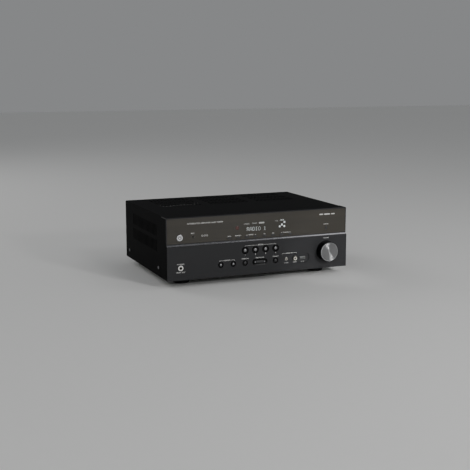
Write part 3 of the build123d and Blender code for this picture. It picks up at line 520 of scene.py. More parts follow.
@dataclass
class Shape:
    """A piece in the making, drawn in millimetres.

    Args:
        name: the piece's name.
        finish: what it is made of.
        slot: the record's slot that the finish stands for; not used.
        body: the CAD body that it moves with.
        replaces: the CAD node that it stands in for, if any.
        sharp_from: the angle in degrees from which an edge stays sharp, or 0 to leave the faces as drawn.
        origin: where the mesh's own origin stands.
    """

    name: str
    finish: Finish
    slot: str
    body: str = "chassis"
    replaces: str = ""
    sharp_from: float = 35.0
    origin: Vector | None = None

    def __post_init__(self) -> None:
        """Starts with an empty mesh that has no loose facets."""
        self.bm = bmesh.new()
        self.facets: list[bmesh.types.BMFace] = []

    def facet(self, corners: list[Vector]) -> None:
        """Adds one loose face, which looks towards whoever sees its corners run counter-clockwise."""
        self.facets.append(self.bm.faces.new([self.bm.verts.new(corner * MM) for corner in corners]))

    def skin(self, rings: list[list[Vector]], capped: bool = True) -> None:
        """Skins rings that have as many points each.

        Args:
            rings: each ring's points in order.
            capped: closes both ends with a face; otherwise the last ring is joined to the first.
        """
        made = [[self.bm.verts.new(point * MM) for point in ring] for ring in rings]
        following = made[1:] if capped else made[1:] + made[:1]
        for near, far in zip(made, following):
            for i in range(len(near)):
                j = (i + 1) % len(near)
                self.bm.faces.new((near[i], near[j], far[j], far[i]))
        if capped:
            self.bm.faces.new(made[0])
            self.bm.faces.new(made[-1])

    def plate(
        self, outline: Outline, levels: Outline, centre: Vector, facing: Facing = Facing.FRONT
    ) -> None:
        """Adds a plate whose outline shrinks and grows with height, such as one with a rounded rim.

        Args:
            outline: the plate's outline about its centre, seen from outside.
            levels: (inset, height) of each ring, from the inside outwards.
            centre: the plate's place, where height is nought.
            facing: the way that the plate's outer face looks, to the front or to the back.
        """
        out = Vector(facing.value)
        across = Vector((-out.y, 0, 0))
        half_x, half_y = (max(abs(p[i]) for p in outline) for i in (0, 1))
        rings = []
        for inset, height in levels:
            wide, tall = (half_x - inset) / half_x, (half_y - inset) / half_y
            raised = centre + out * height
            rings.append([raised + across * (x * wide) + Vector((0, 0, y * tall)) for x, y in outline])
        self.skin(rings)

    def turned(
        self, outline: Outline, centre: Vector, facing: Facing = Facing.FRONT, steps: int = 64
    ) -> None:
        """Adds a turned shape.

        Args:
            outline: (radius, height) points. One that starts on the axis ends on it too, and any other is
                a section whose last point is joined to its first.
            centre: where the outline's height is nought.
            facing: the way that the outline's height runs.
            steps: how many sides the rounds have.
        """
        place = Matrix.Translation(centre) @ facing.turn()
        angles = [2 * math.pi * i / steps for i in range(steps)]
        rings = []
        for radius, height in outline if outline[0][0] == 0 else [*outline, outline[0]]:
            spots = [(radius * math.cos(a), radius * math.sin(a)) for a in angles] if radius else [(0, 0)]
            rings.append([self.bm.verts.new(place @ Vector((x, y, height)) * MM) for x, y in spots])
        for low, high in zip(rings, rings[1:]):
            for i in range(steps):
                j = (i + 1) % steps
                corners = [low[i % len(low)], low[j % len(low)], high[j % len(high)], high[i % len(high)]]
                unique = list(dict.fromkeys(corners))
                if len(unique) > 2:
                    self.bm.faces.new(unique)

    def smooth(self, limit: float) -> None:
        """Smooths the faces, but leaves the edges sharp where the surface turns more.

        Args:
            limit: the angle from which an edge stays sharp, in radians.
        """
        for face in self.bm.faces:
            face.smooth = True
        for edge in self.bm.edges:
            edge.smooth = len(edge.link_faces) == 2 and edge.calc_face_angle(0.0) < limit

    def build(self) -> None:
        """Finishes the mesh, dresses it and sets it riding on its body."""
        joined = [face for face in self.bm.faces if face not in self.facets]
        bmesh.ops.recalc_face_normals(self.bm, faces=joined)
        if self.sharp_from:
            self.smooth(math.radians(self.sharp_from))
        mesh = bpy.data.meshes.new(self.name)
        self.bm.to_mesh(mesh)
        self.bm.free()
        piece = bpy.data.objects.new(self.name, mesh)
        bpy.context.scene.collection.objects.link(piece)
        if self.origin:
            piece.location = self.origin * MM
            bpy.context.view_layer.update()
        mesh.materials.append(self.finish.material())
        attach(piece, self.body)
        if self.replaces:
            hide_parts(self.replaces)
        LOG.info("%s: %d faces, %s", self.name, len(mesh.polygons), self.finish.name)


@dataclass
class Print(Shape):
    """Ink on one flat face: words, lines and marks gathered into one piece.

    Args:
        sharp_from: 0, since ink lies flat.
        face: how far along Y the printed face stands.
        facing: the way that the face looks.
        thick: the ink's thickness, drawn a little thicker than real so that it stays above the face.
    """

    sharp_from: float = 0.0
    face: float = 0.0
    facing: Facing = Facing.FRONT
    thick: float = 0.06

    def bar(self, x: float, z: float, width: float, height: float, corner: float = 0.02) -> None:
        """Prints a bar.

        Args:
            x: its middle across the face.
            z: its middle's height.
            width: its whole width.
            height: its whole height.
            corner: its corner radius.
        """
        shape = rounded(width, height, corner, 3)
        self.plate(shape, [(0, 0), (0, self.thick)], Vector((x, self.face, z)), self.facing)

    def arrow(self, x: float, z: float, way: int, size: float = 1.0) -> None:
        """Prints a small arrowhead.

        Args:
            x: its middle across the face.
            z: its middle's height.
            way: 1 to point right, -1 to point left.
            size: half its height.
        """
        tips = ((x - way * size, z - size), (x + way * size, z), (x - way * size, z + size))
        depths = (self.face, self.face + self.facing.value[1] * self.thick)
        self.skin([[Vector((across, y, up)) for across, up in tips] for y in depths])

    def ring(self, x: float, z: float, radius: float, width: float) -> None:
        """Prints a ring.

        Args:
            x: its middle across the face.
            z: its middle's height.
            radius: its outer radius.
            width: the line's width.
        """
        line = [(radius, 0), (radius, self.thick), (radius - width, self.thick), (radius - width, 0)]
        self.turned(line, Vector((x, self.face, z)), self.facing, 40)

    def words(self, text: str, x: float, z: float, height: float, spacing: float = 1.1) -> None:
        """Prints words centred on a place.

        Args:
            text: the words.
            x: their middle across the face.
            z: their middle's height.
            height: the capitals' height.
            spacing: the letters' spacing, 1 being the font's own.
        """
        curve = bpy.data.curves.new("lettering", "FONT")
        curve.body = text
        curve.align_x = "CENTER"
        curve.align_y = "CENTER"
        curve.size = height * MM / 0.7
        curve.space_character = spacing
        curve.extrude = self.thick * MM / 2
        curve.offset = height * MM * 0.02
        curve.resolution_u = 3
        holder = bpy.data.objects.new("lettering", curve)
        bpy.context.scene.collection.objects.link(holder)
        bpy.context.view_layer.update()
        flat = bpy.data.meshes.new_from_object(holder.evaluated_get(bpy.context.evaluated_depsgraph_get()))
        stand = Matrix.Rotation(math.radians(90), 4, "X")
        if self.facing is Facing.BACK:
            stand = Matrix.Rotation(math.pi, 4, "Z") @ stand
        lift = Vector((x, self.face + self.facing.value[1] * self.thick / 2, z)) * MM
        flat.transform(Matrix.Translation(lift) @ stand)
        self.bm.from_mesh(flat)
        bpy.data.objects.remove(holder)
        bpy.data.curves.remove(curve)
        bpy.data.meshes.remove(flat)

    def flanked(self, word: str, x: float, z: float, height: float, width: float, gap: float) -> None:
        """Prints a word with a thin line on each side, each line turned down at its outer end.

        Args:
            word: the word.
            x: its middle.
            z: its middle's height.
            height: the capitals' height.
            width: the whole width, lines and all.
            gap: the space that the word takes.
        """
        self.words(word, x, z, height, 1.2)
        line = (width - gap) / 2
        for side in (-1, 1):
            self.bar(x + side * (gap + line) / 2, z, line, 0.45)
            self.bar(x + side * (width / 2 - 0.22), z - 0.9, 0.45, 1.8)


# Five by seven dot patterns of the display's characters, one string of five bits for each row.
DOT_CHARACTERS: dict[str, tuple[str, ...]] = {
    "R": ("11110", "10001", "10001", "11110", "10100", "10010", "10001"),
    "A": ("01110", "10001", "10001", "11111", "10001", "10001", "10001"),
    "D": ("11110", "10001", "10001", "10001", "10001", "10001", "11110"),
    "I": ("01110", "00100", "00100", "00100", "00100", "00100", "01110"),
    "O": ("01110", "10001", "10001", "10001", "10001", "10001", "01110"),
    "1": ("00100", "01100", "00100", "00100", "00100", "00100", "01110"),
    " ": ("00000",) * 7,
}


# ---- the case ----------------------------------------------------------------------------------


@dataclass
class Case:
    """The steel case's screws and the turned feet.

    Args:
        head_radius: a screw head's radius.
        head_height: how far a head stands out.
        foot_radius: a foot's radius at its widest.
    """

    head_radius: float = 3.6
    head_height: float = 1.7
    foot_radius: float = 19.4

    def build(self) -> None:
        """Builds the screws and the feet."""
        self.screws()
        self.feet()

    def screws(self) -> None:
        """Makes domed heads with dark crossed recesses in place of the plain ones."""
        low, high = box("case_screws")
        r, h = self.head_radius, self.head_height
        dome = [(0, -1.0), (r * 0.98, -1.0), (r, 0), (r, 0.3 * h)]
        dome += [(r * math.cos(a), h * (0.3 + 0.7 * math.sin(a))) for a in (0.35, 0.7, 1.0, 1.25)]
        dome += [(0.55, h), (0.3, 0.35 * h), (0, 0.3 * h)]
        heads = Shape("screw_heads", BLACK_SCREW, "black_screws", replaces="case_screws")
        for y in (low.y + r, high.y - r):
            for side, facing in ((-1, Facing.LEFT), (1, Facing.RIGHT)):
                centre = Vector((side * (high.x - 1.8), y, (low.z + high.z) / 2))
                heads.turned(dome, centre, facing, 32)
                tip = centre + Vector((side * (h + 0.02), 0, 0))
                for long, tall in ((1.7, 0.35), (0.35, 1.7)):
                    corners = ((-long, -tall), (long, -tall), (long, tall), (-long, tall))
                    heads.facet([tip + Vector((0, side * a, b)) for a, b in corners])
        heads.build()

    def feet(self) -> None:
        """Makes the round feet: a flared moulding, a groove and a rubber ring to stand on."""
        low, high = box("feet")
        top, r = high.z, self.foot_radius
        body = [(0, top - 3), (7, top - 3), (7, 1.6), (r - 1.4, 1.6), (r - 1.4, 2.4), (r - 0.3, 2.6)]
        body += [(r, 3.4), (r - 0.4, 5), (r - 1.4, top - 1.2), (r - 1.9, top), (0, top)]
        pad = [(8, 1.7), (8.6, 0.2), (9.4, 0), (r - 2.6, 0), (r - 1.8, 0.3), (r - 1.6, 1.7)]
        feet = Shape("turned_feet", SATIN_BLACK, "feet", replaces="feet")
        pads = Shape("foot_pads", RUBBER, "feet")
        inset = 20.0
        for x in (low.x + inset, high.x - inset):
            for y in (low.y + inset, high.y - inset):
                for shape, section in ((feet, body), (pads, pad)):
                    downward = [(radius, -z) for radius, z in section]
                    shape.turned(downward, Vector((x, y, 0)), Facing.DOWN, 72)
        feet.build()
        pads.build()


# ---- the front ---------------------------------------------------------------------------------


@dataclass
class Front:
    """The bevel's bright strip, the printed words and the display behind the window.

    Args:
        strip_proud: how far the strip stands off the bevel.
        strip_margin: the bare bevel left above and below it.
        paint: the thickness of the black laid on the moulding's top and sides, painted shade on the sides.
        bevel_low: the bevel's lower edge above the moulding's underside.
        bevel_high: its upper edge.
        socket_hollow: the depth of the hollow round the front sockets.
        label: the height of the small capitals.
        dot: one display dot's width.
        pitch: the distance from dot to dot.
        character: how many pitches one display character takes.
    """

    strip_proud: float = 0.12
    strip_margin: float = 1.5
    paint: float = 0.03
    bevel_low: float = 74.3
    bevel_high: float = 79.3
    socket_hollow: float = 1.5
    label: float = 2.6
    dot: float = 0.74
    pitch: float = 1.2
    character: float = 5.6

    def __post_init__(self) -> None:
        """Reads the moulding's and the window's places."""
        self.low, self.high = box("front_moulding")
        self.window = box("display_window")[0].y
        self.base = self.low.z

    def build(self) -> None:
        """Builds the strip, the print and the display."""
        self.strip()
        self.wrap()
        self.lower_print()
        self.upper_print()
        self.display()
        self.eye()

    def strip(self) -> None:
        """Lays the bright strip along the bevel, with a rolled edge above and below. Its pale metal is
        partly a painted highlight along the bevel's ledge.
        """
        low = Vector((self.low.y, self.base + self.bevel_low))
        high = Vector((self.window, self.base + self.bevel_high))
        along = (high - low).normalized()
        out = Vector((-along.y, along.x)) * self.strip_proud
        foot, head = low + along * self.strip_margin, high - along * self.strip_margin
        lip = along * 0.2
        section = [foot, foot + out * 0.6, foot + out + lip, head + out - lip, head + out * 0.6, head]
        edge = self.high.x - 0.5
        # the strip's pale metal is partly a painted highlight along the bevel's ledge
        strip = Shape("bevel_strip", BEVEL, "front_moulding")
        strip.skin([[Vector((edge * (i / 4 - 1), p.x, p.y)) for p in section] for i in range(9)])
        strip.build()

    def wrap(self) -> None:
        """Lays black over the moulding's top and sides, which the front's grey stops at: on the top the
        case's black paint, on the sides painted shade.
        """
        back, top, foot = self.high.y - 0.1, self.high.z - 1.7, self.base + 1.5
        lower, upper = self.low.y + 1.0, self.window + 1.0
        side = [(back, foot), (lower, foot), (lower, self.base + self.bevel_low)]
        side += [(upper, self.base + self.bevel_high), (upper, top), (back, top)]
        # the black on the moulding's sides is painted shade
        wrap = Shape("front_wrap_paint_and_shade", POWDER_COAT, "front_moulding")
        for x, way in ((self.low.x, -1), (self.high.x, 1)):
            wrap.skin([[Vector((x + d, y, z)) for y, z in side] for d in (0, way * self.paint)])
        ends, depths = (self.low.x, self.high.x), (upper + 1.0, back)
        over = [(ends[0], depths[0]), (ends[1], depths[0]), (ends[1], depths[1]), (ends[0], depths[1])]
        wrap.skin([[Vector((x, y, self.high.z + d)) for x, y in over] for d in (0, self.paint)])
        wrap.build()

    def lower_print(self) -> None:
        """Prints the lower face: words over and under the controls, and lines beside some of them."""
        ink = Print("lower_print", INK, "front_moulding", face=self.low.y)
        text = self.label
        for word, node, rise, height, spacing in (
            ("PHONES", "headphone_jack", 8.6, text, 1.25),
            ("SILENT OUT", "headphone_jack", -9.2, text * 0.9, 1.1),
            ("TONE CTRL", "tone_button", 9.2, text * 0.85, 1.0),
            ("PROGRAM", "program_rocker", 9.2, text, 1.2),
            ("STRAIGHT", "straight_button", 9.2, text * 0.8, 1.0),
            ("VOLUME", "volume_knob", 29.6, text * 0.9, 1.1),
        ):
            place = middle(node)
            ink.words(word, place.x, place.z + rise, height, spacing)
        down, up = middle("input_button_down"), middle("input_button_up")
        ink.flanked("INPUT", (down.x + up.x) / 2, down.z + 9.0, text, 36, 11)
        modes = [middle(f"mode_button_{i}") for i in (1, 2, 3, 4)]
        ink.flanked("MODE", (modes[0].x + modes[3].x) / 2, modes[0].z + 10.2, text, 75, 12)
        for number, place in enumerate(modes, start=1):
            ink.words(str(number), place.x, place.z - 10.2, text * 1.1)
        video, flat = middle("video_socket"), middle("flat_socket")
        ink.flanked("AUX IN", video.x - 14.5, video.z + 13.2, text, 36, 13)
        sunk = Print("socket_print", INK, "front_moulding", face=self.low.y + self.socket_hollow)
        for word, x in (("AUDIO", video.x - 21.0), ("VIDEO", video.x), ("5V 1A", flat.x)):
            sunk.words(word, x, video.z - 8.8, text * 0.75)
        sunk.build()
        ink.build()

    def upper_print(self) -> None:
        """Prints the window: a line of description, the keys' words and a plain mark at the right."""
        ink = Print("window_print", INK, "display_window", face=self.window)
        text = self.label
        ink.words("INTEGRATED AMPLIFIER AND TUNER", -128.4, self.base + 121.7, 2.9, 1.22)
        power, direct = middle("power_button"), middle("direct_button")
        ink.words("MIC", power.x + 29.5, power.z + 8.0, text, 1.3)
        ink.words("DIRECT", direct.x, direct.z + 8.0, text * 0.9)
        for offset in (-5.4, 0.0, 5.4):
            ink.ring(-129.9 + offset, self.base + 94.2, 1.9, 0.5)
        for word in ("info", "memory", "fm", "am"):
            key = middle(f"{word}_key")
            ink.words(word.upper(), key.x, key.z + 4.4, text * 0.9)
        for word in ("preset", "tuning"):
            left, right = (middle(f"{word}_{way}_key") for way in ("down", "up"))
            ink.words(word.upper(), (left.x + right.x) / 2, left.z + 4.4, text * 0.9)
            for key, way in ((left, -1), (right, 1)):
                ink.arrow(key.x, key.z + 4.4, way)
        for i, width in enumerate((9.0, 14.0, 9.0)):
            ink.bar(153.5 + 15.0 * i, self.base + 123.5, width, 2.4, 1.0)
        ink.build()

    def display(self) -> None:
        """Lights the display: a dotted word, small indicators, a level and the speaker layout."""
        bright = Print("display_glyphs", PHOSPHOR, "display_tube", face=self.window)
        self.dotted(bright, "RADIO 1", -30.0, self.base + 97.8)
        for x, z in ((49.4, 102.8), (54.8, 106.5), (60.8, 102.8), (61.0, 112.0)):
            bright.bar(x, self.base + z, 3.7, 4.2, 1.0)
        bright.words("-32.5", 54.5, self.base + 116.8, 3.0, 1.05)
        bright.build()
        dim = Print("display_indicators", PHOSPHOR_DIM, "display_tube", face=self.window)
        for word, x, z, height in (
            ("STEREO", -31.0, 113.0, 2.4), ("TUNED", -12.5, 113.6, 2.4), ("VOL", 41.6, 115.6, 2.6),
        ):
            dim.words(word, x, self.base + z, height)
        dim.bar(5.0, self.base + 113.8, 13.0, 3.2, 0.7)
        dim.build()

    def dotted(self, ink: Print, text: str, x: float, z: float) -> None:
        """Prints a word in five by seven dots.

        Args:
            ink: the print to add to.
            text: the word, of characters in DOT_CHARACTERS.
            x: its left edge.
            z: its lowest dots' height.
        """
        for place, letter in enumerate(text):
            for row, bits in enumerate(DOT_CHARACTERS[letter]):
                for column, bit in enumerate(bits):
                    if bit == "1":
                        across = x + (place * self.character + column) * self.pitch
                        ink.bar(across, z + (6 - row) * self.pitch, self.dot, self.dot)

    def eye(self) -> None:
        """Sets the remote control's eye, a shallow lens, in the window."""
        eye = Shape("remote_eye", EYE, "display_window")
        lens = [(0, 0), (4.2, 0), (4.1, 0.06), (2.4, 0.12), (0, 0.15)]
        eye.turned(lens, Vector((-53.6, self.window, self.base + 105.7)), steps=48)
        eye.build()


# ---- the controls ------------------------------------------------------------------------------


@dataclass
class RoundButton:
    """A round push button: a black cap with a pale middle, in a polished ring. The cap's rim and the ring
    are black as painted shade of the hollow, and a silver-grey middle is partly a painted highlight.

    Args:
        node: its CAD node.
        radius: the cap's radius.
        dish: the radius of the hollow that it stands in.
        inlay: the painted middle's share of the cap's radius.
        finish: that middle's finish.
        proud: how far the cap stands out of the face.
        hollow: the depth of the hollow round it.
    """

    node: str
    radius: float
    dish: float
    inlay: float
    finish: Finish
    proud: float = 0.7
    hollow: float = 1.2

    def __post_init__(self) -> None:
        """Reads the button's middle on the moulding's face, and how far behind it its stem goes."""
        face = box("front_moulding")[0].y
        place = middle(self.node)
        self.centre = Vector((place.x, face, place.z))
        self.reach = box(self.node)[1].y - face

    def build(self) -> None:
        """Builds the button and its ring."""
        self.cap()
        self.painted_middle()
        self.ring()

    def cap(self) -> None:
        """Makes the cap, its collar and the stem that reaches its switch. The cap's black, left showing
        round the middle, is painted shade of the hollow.
        """
        r, p, inner = self.radius, self.proud, self.radius * self.inlay
        outline = [(0, -self.reach), (1.9, -self.reach), (1.9, -4.4), (r + 1.2, -4.4), (r + 1.2, -3.5)]
        outline += [(r, -3.5), (r, p - 0.5), *arc((r - 0.5, p - 0.5), 0.5, 0, 90, 5)[1:]]
        outline += [(inner + 0.25, p - 0.05), (inner + 0.1, p - 0.45), (0, p - 0.5)]
        # the cap's black rim round the middle is painted shade of the hollow
        cap = Shape(f"{self.node}_cap", SATIN_BLACK, "button_caps", self.node, self.node)
        cap.turned(outline, self.centre, steps=56)
        cap.build()

    def painted_middle(self) -> None:
        """Makes the middle, slightly crowned so that it catches the light. A silver-grey middle is partly a
        painted highlight on the crown; a charcoal one is the cap's own colour.
        """
        r, p = self.radius * self.inlay, self.proud
        outline = [(0, p - 0.46), (r, p - 0.46), (r, p - 0.3)]
        outline += [(r * c, p - 0.3 + 0.6 * (1 - c * c)) for c in (0.95, 0.85, 0.7, 0.5, 0.25, 0)]
        # a silver-grey middle is partly a painted highlight on the crown
        inlay = Shape(f"{self.node}_middle", self.finish, "button_caps", self.node)
        inlay.turned(outline, self.centre, steps=48)
        inlay.build()

    def ring(self) -> None:
        """Makes the polished ring that lines the hollow and catches a thin line of light. Its black is
        painted shade of the hollow's wall.
        """
        inner, outer, deep = self.radius + 0.38, self.dish - 0.03, -self.hollow
        outline = [(inner, deep + 0.02), (outer, deep + 0.02), (outer, -0.1), (outer - 0.15, 0.05)]
        outline += [(outer - 0.4, 0.0), (inner + 0.3, deep + 0.35), (inner, deep + 0.3)]
        # the ring's black is painted shade of the hollow's wall
        ring = Shape(f"{self.node}_ring", GLOSS_BLACK, "front_moulding")
        ring.turned(outline, self.centre)
        ring.build()


@dataclass
class ProgramRocker:
    """The program rocker: a black obround cap with a grey plateau and an arrow at each end.

    Args:
        length: the cap's whole length.
        height: its whole height.
        proud: how far it stands out of the face.
        pin_back: how far behind the face the pin that it rocks on stands.
    """

    length: float = 32.0
    height: float = 9.0
    proud: float = 0.6
    pin_back: float = 5.6

    def __post_init__(self) -> None:
        """Reads the rocker's middle on the moulding's face, and how far behind it its stems go."""
        face = box("front_moulding")[0].y
        place = middle("program_rocker")
        self.centre = Vector((place.x, face, place.z))
        self.reach = box("program_rocker")[1].y - face

    def build(self) -> None:
        """Builds the cap, its plateau and arrows, and the ring round it."""
        self.cap()
        self.plateau()
        self.arrows()
        self.ring()

    def cap(self) -> None:
        """Makes the cap, the block behind it, its pin and its two stems."""
        cap = Shape("rocker_cap", SATIN_BLACK, "button_caps", "program_rocker", "program_rocker")
        p = self.proud
        levels = [(0, -3.0), (0, p - 0.5), (0.15, p - 0.18), (0.45, p), (1.5, p - 0.1), (1.7, p - 0.35)]
        cap.plate(rounded(self.length, self.height, self.height / 2, 14), levels, self.centre)
        block = rounded(self.length - 8, self.height - 2, 0.5)
        cap.plate(block, [(0, -6.5), (0, -3.0)], self.centre)
        stem = [(0, -self.reach), (1.5, -self.reach), (1.5, -6.4), (0, -6.4)]
        for side in (-10, 10):
            cap.turned(stem, self.centre + Vector((side, 0, 0)), steps=24)
        pin = [(0, -7), (1.2, -7), (1.2, 7), (0, 7)]
        cap.turned(pin, self.centre + Vector((0, self.pin_back, 0)), Facing.DOWN, 24)
        cap.build()

    def plateau(self) -> None:
        """Makes the grey plateau between the two arrows."""
        plateau = Shape("rocker_plateau", BUTTON_DARK, "button_caps", "program_rocker")
        p = self.proud
        levels = [(0, p - 0.36), (0, p - 0.12), (0.2, p - 0.02)]
        plateau.plate(rounded(self.length - 15, self.height - 4.2, 1.2), levels, self.centre)
        plateau.build()

    def arrows(self) -> None:
        """Makes the bright arrow at each end."""
        arrows = Shape("rocker_arrows", BUTTON_PAINT, "button_caps", "program_rocker")
        face = self.centre.y - self.proud + 0.36
        for way in (-1, 1):
            x, z = self.centre.x + way * (self.length / 2 - 4.6), self.centre.z
            tips = ((x - way * 1.5, z - 2.1), (x + way * 2.0, z), (x - way * 1.5, z + 2.1))
            arrows.skin([[Vector((a, y, b)) for a, b in tips] for y in (face, face - 0.3)])
        arrows.build()

    def ring(self) -> None:
        """Makes the polished obround ring that lines the hollow."""
        inner = rounded(self.length + 2.2, self.height + 1.0, self.height, 14)
        outer = rounded(self.length + 4.3, self.height + 4.3, self.height, 14)
        deep = 1.18
        loops = ((inner, deep), (outer, deep), (outer, -0.03), (inner, deep - 0.35))
        ring = Shape("rocker_ring", GLOSS_BLACK, "front_moulding")
        ring.skin([[self.centre + Vector((x, y, z)) for x, z in loop] for loop, y in loops], capped=False)
        ring.build()


@dataclass
class WindowButtons:
    """The controls in the window: the bright power button, the small keys and the direct button.

    Args:
        power_radius: the power button's radius.
        proud: how far its cap stands out of the window.
        mark_radius: the radius of the standby mark's open ring.
    """

    power_radius: float = 7.0
    proud: float = 1.2
    mark_radius: float = 3.0

    def __post_init__(self) -> None:
        """Reads where the window's face stands."""
        self.window = box("display_window")[0].y

    def build(self) -> None:
        """Builds the power button and the small keys."""
        self.power()
        for node in sorted(node for node in frame["nodes"] if node.endswith("_key")):
            self.key(node, 0.7, (2.0, 1.8))
        self.key("direct_button", 0.8, (2.4, 2.4))

    def power(self) -> None:
        """Makes the power button: a plated cap with a crowned face, and the standby mark on it."""
        place = middle("power_button")
        centre = Vector((place.x, self.window, place.z))
        r, p, reach = self.power_radius, self.proud, box("power_button")[1].y - self.window
        outline = [(0, -reach), (2.4, -reach), (2.4, -4.4), (r + 0.7, -4.4), (r + 0.7, -3.5), (r, -3.5)]
        outline += [(r, p - 0.9), *arc((r - 0.9, p - 0.9), 0.9, 0, 90, 7)[1:], (r * 0.74, p - 0.02)]
        outline += [(r * 0.7, p - 0.3), (r * 0.5, p - 0.42), (r * 0.25, p - 0.5), (0, p - 0.52)]
        cap = Shape("power_cap", CHROME, "power_button", "power_button", "power_button")
        cap.turned(outline, centre)
        cap.build()
        face = self.window - p + 0.5
        mark = Print("power_mark", GLOSS_BLACK, "power_button", "power_button", face=face, thick=0.14)
        for x, z in arc((centre.x, centre.z), self.mark_radius, 125, 415, 27):
            mark.bar(x, z, 1.4, 1.4, 0.65)
        mark.bar(centre.x, centre.z + 2.4, 1.3, 3.4, 0.6)
        mark.build()

    def key(self, node: str, corner: float, flange: tuple[float, float]) -> None:
        """Makes a small key with a pillowed face, its hidden collar and the stem to its switch.

        Args:
            node: its CAD node, which gives its place.
            corner: its corner radius.
            flange: how much wider and taller than the key its collar is.
        """
        low, high = box(node)
        width, height = high.x - low.x - flange[0], high.z - low.z - flange[1]
        centre = Vector(((low.x + high.x) / 2, self.window, (low.z + high.z) / 2))
        levels = [(0, -3.5), (0, 0.25), (0.12, 0.45), (0.35, 0.56), (min(width, height) * 0.32, 0.6)]
        cap = Shape(f"{node}_cap", BUTTON_DARK, "button_caps", node, node)
        cap.plate(rounded(width, height, corner), levels, centre)
        collar = rounded(width + flange[0], height + flange[1], 0.3)
        cap.plate(collar, [(0, -4.4), (0, -3.4)], centre)
        cap.plate(rounded(3, 2.4, 0.3), [(0, self.window - high.y), (0, -4.3)], centre)
        cap.build()


@dataclass
class VolumeControl:
    """The volume control: a hollow satin black knob with a spun aluminium face and a cut rim.

    Args:
        radius: the knob's radius.
        wall: its side's thickness.
        crown: how far the face's middle is dished.
        bore: the radius of the hole for the shaft.
        rim_width: the rim's width and the ledge that it sits on.
        steps: how many sides its rounds have.
    """

    radius: float = 22.4
    wall: float = 2.4
    crown: float = 0.12
    bore: float = 3.05
    rim_width: float = 1.9
    steps: int = 144

    def __post_init__(self) -> None:
        """Reads the knob's length and the middle of its front."""
        low, high = box("volume_knob")
        self.long = high.y - low.y
        self.centre = Vector(((low.x + high.x) / 2, low.y, (low.z + high.z) / 2))

    def build(self) -> None:
        """Builds the knob, its face, its rim and the well behind it."""
        self.body()
        self.face()
        self.rim()
        self.well()

    def body(self) -> None:
        """Makes the knob's hollow body with a fine grip step near its front, and its hub."""
        r, bore, back, inside = self.radius, self.bore, -self.long, self.radius - self.wall
        outline = [(bore, -5), (6, -5), (6, -3.5), (inside, -3.5), (inside, back), (r - 0.3, back)]
        outline += [(r, back + 0.4), (r, -2.0), (r - 0.1, -1.8), (r - 0.1, -1.2), (r, -1.0), (r, -0.5)]
        outline += arc((r - 0.5, -0.5), 0.5, 0, 90, 5)[1:]
        outline += [(r - 0.88, -0.02), (r - 0.92, -1.5), (bore, -1.5)]
        body = Shape("knob_body", SATIN_BLACK, "knob_body", "volume_control", "volume_knob")
        body.turned(outline, self.centre, steps=self.steps)
        hub = [(bore + 0.01, -5), (6, -5), (6, back + 0.4), (bore + 0.01, back + 0.4)]
        body.turned(hub, self.centre, steps=48)
        body.build()

    def face(self) -> None:
        """Makes the spun face, its mesh about the knob's own centre so that its grooves run round it."""
        r, dishes = self.radius - self.rim_width, 10
        shares = [1 - i / dishes for i in range(1, dishes)] + [0]
        outline = [(0, -1.4), (r, -1.4), (r, -0.1)]
        outline += [(r * share, -0.1 - self.crown * (1 - share * share)) for share in shares]
        face = Shape(
            "knob_spun_face", SPUN_ALUMINIUM, "knob_face", "volume_control", "knob_face", 20.0, self.centre
        )
        face.turned(outline, Vector((0, 0, 0)), steps=self.steps)
        face.build()

    def rim(self) -> None:
        """Makes the cut rim round the face."""
        r, inner = self.radius, self.radius - self.rim_width
        outline = [(inner, -1.4), (r - 0.95, -1.4), (r - 0.95, -0.45), (r - 1.2, -0.12)]
        outline.append((inner + 0.02, -0.05))
        rim = Shape("knob_rim", CUT_RIM, "knob_face", "volume_control")
        rim.turned(outline, self.centre, steps=self.steps)
        rim.build()

    def well(self) -> None:
        """Makes the polished ring that lines the hollow behind the knob."""
        centre = Vector((self.centre.x, box("front_moulding")[0].y, self.centre.z))
        r = self.radius + 1.17
        outline = [(5.2, -1.58), (r, -1.58), (r, 0.02), (r - 0.3, 0.05), (r - 0.5, -1.2), (5.2, -1.3)]
        well = Shape("knob_well", GLOSS_BLACK, "front_moulding")
        well.turned(outline, centre, steps=self.steps)
        well.build()


# ---- the sockets -------------------------------------------------------------------------------


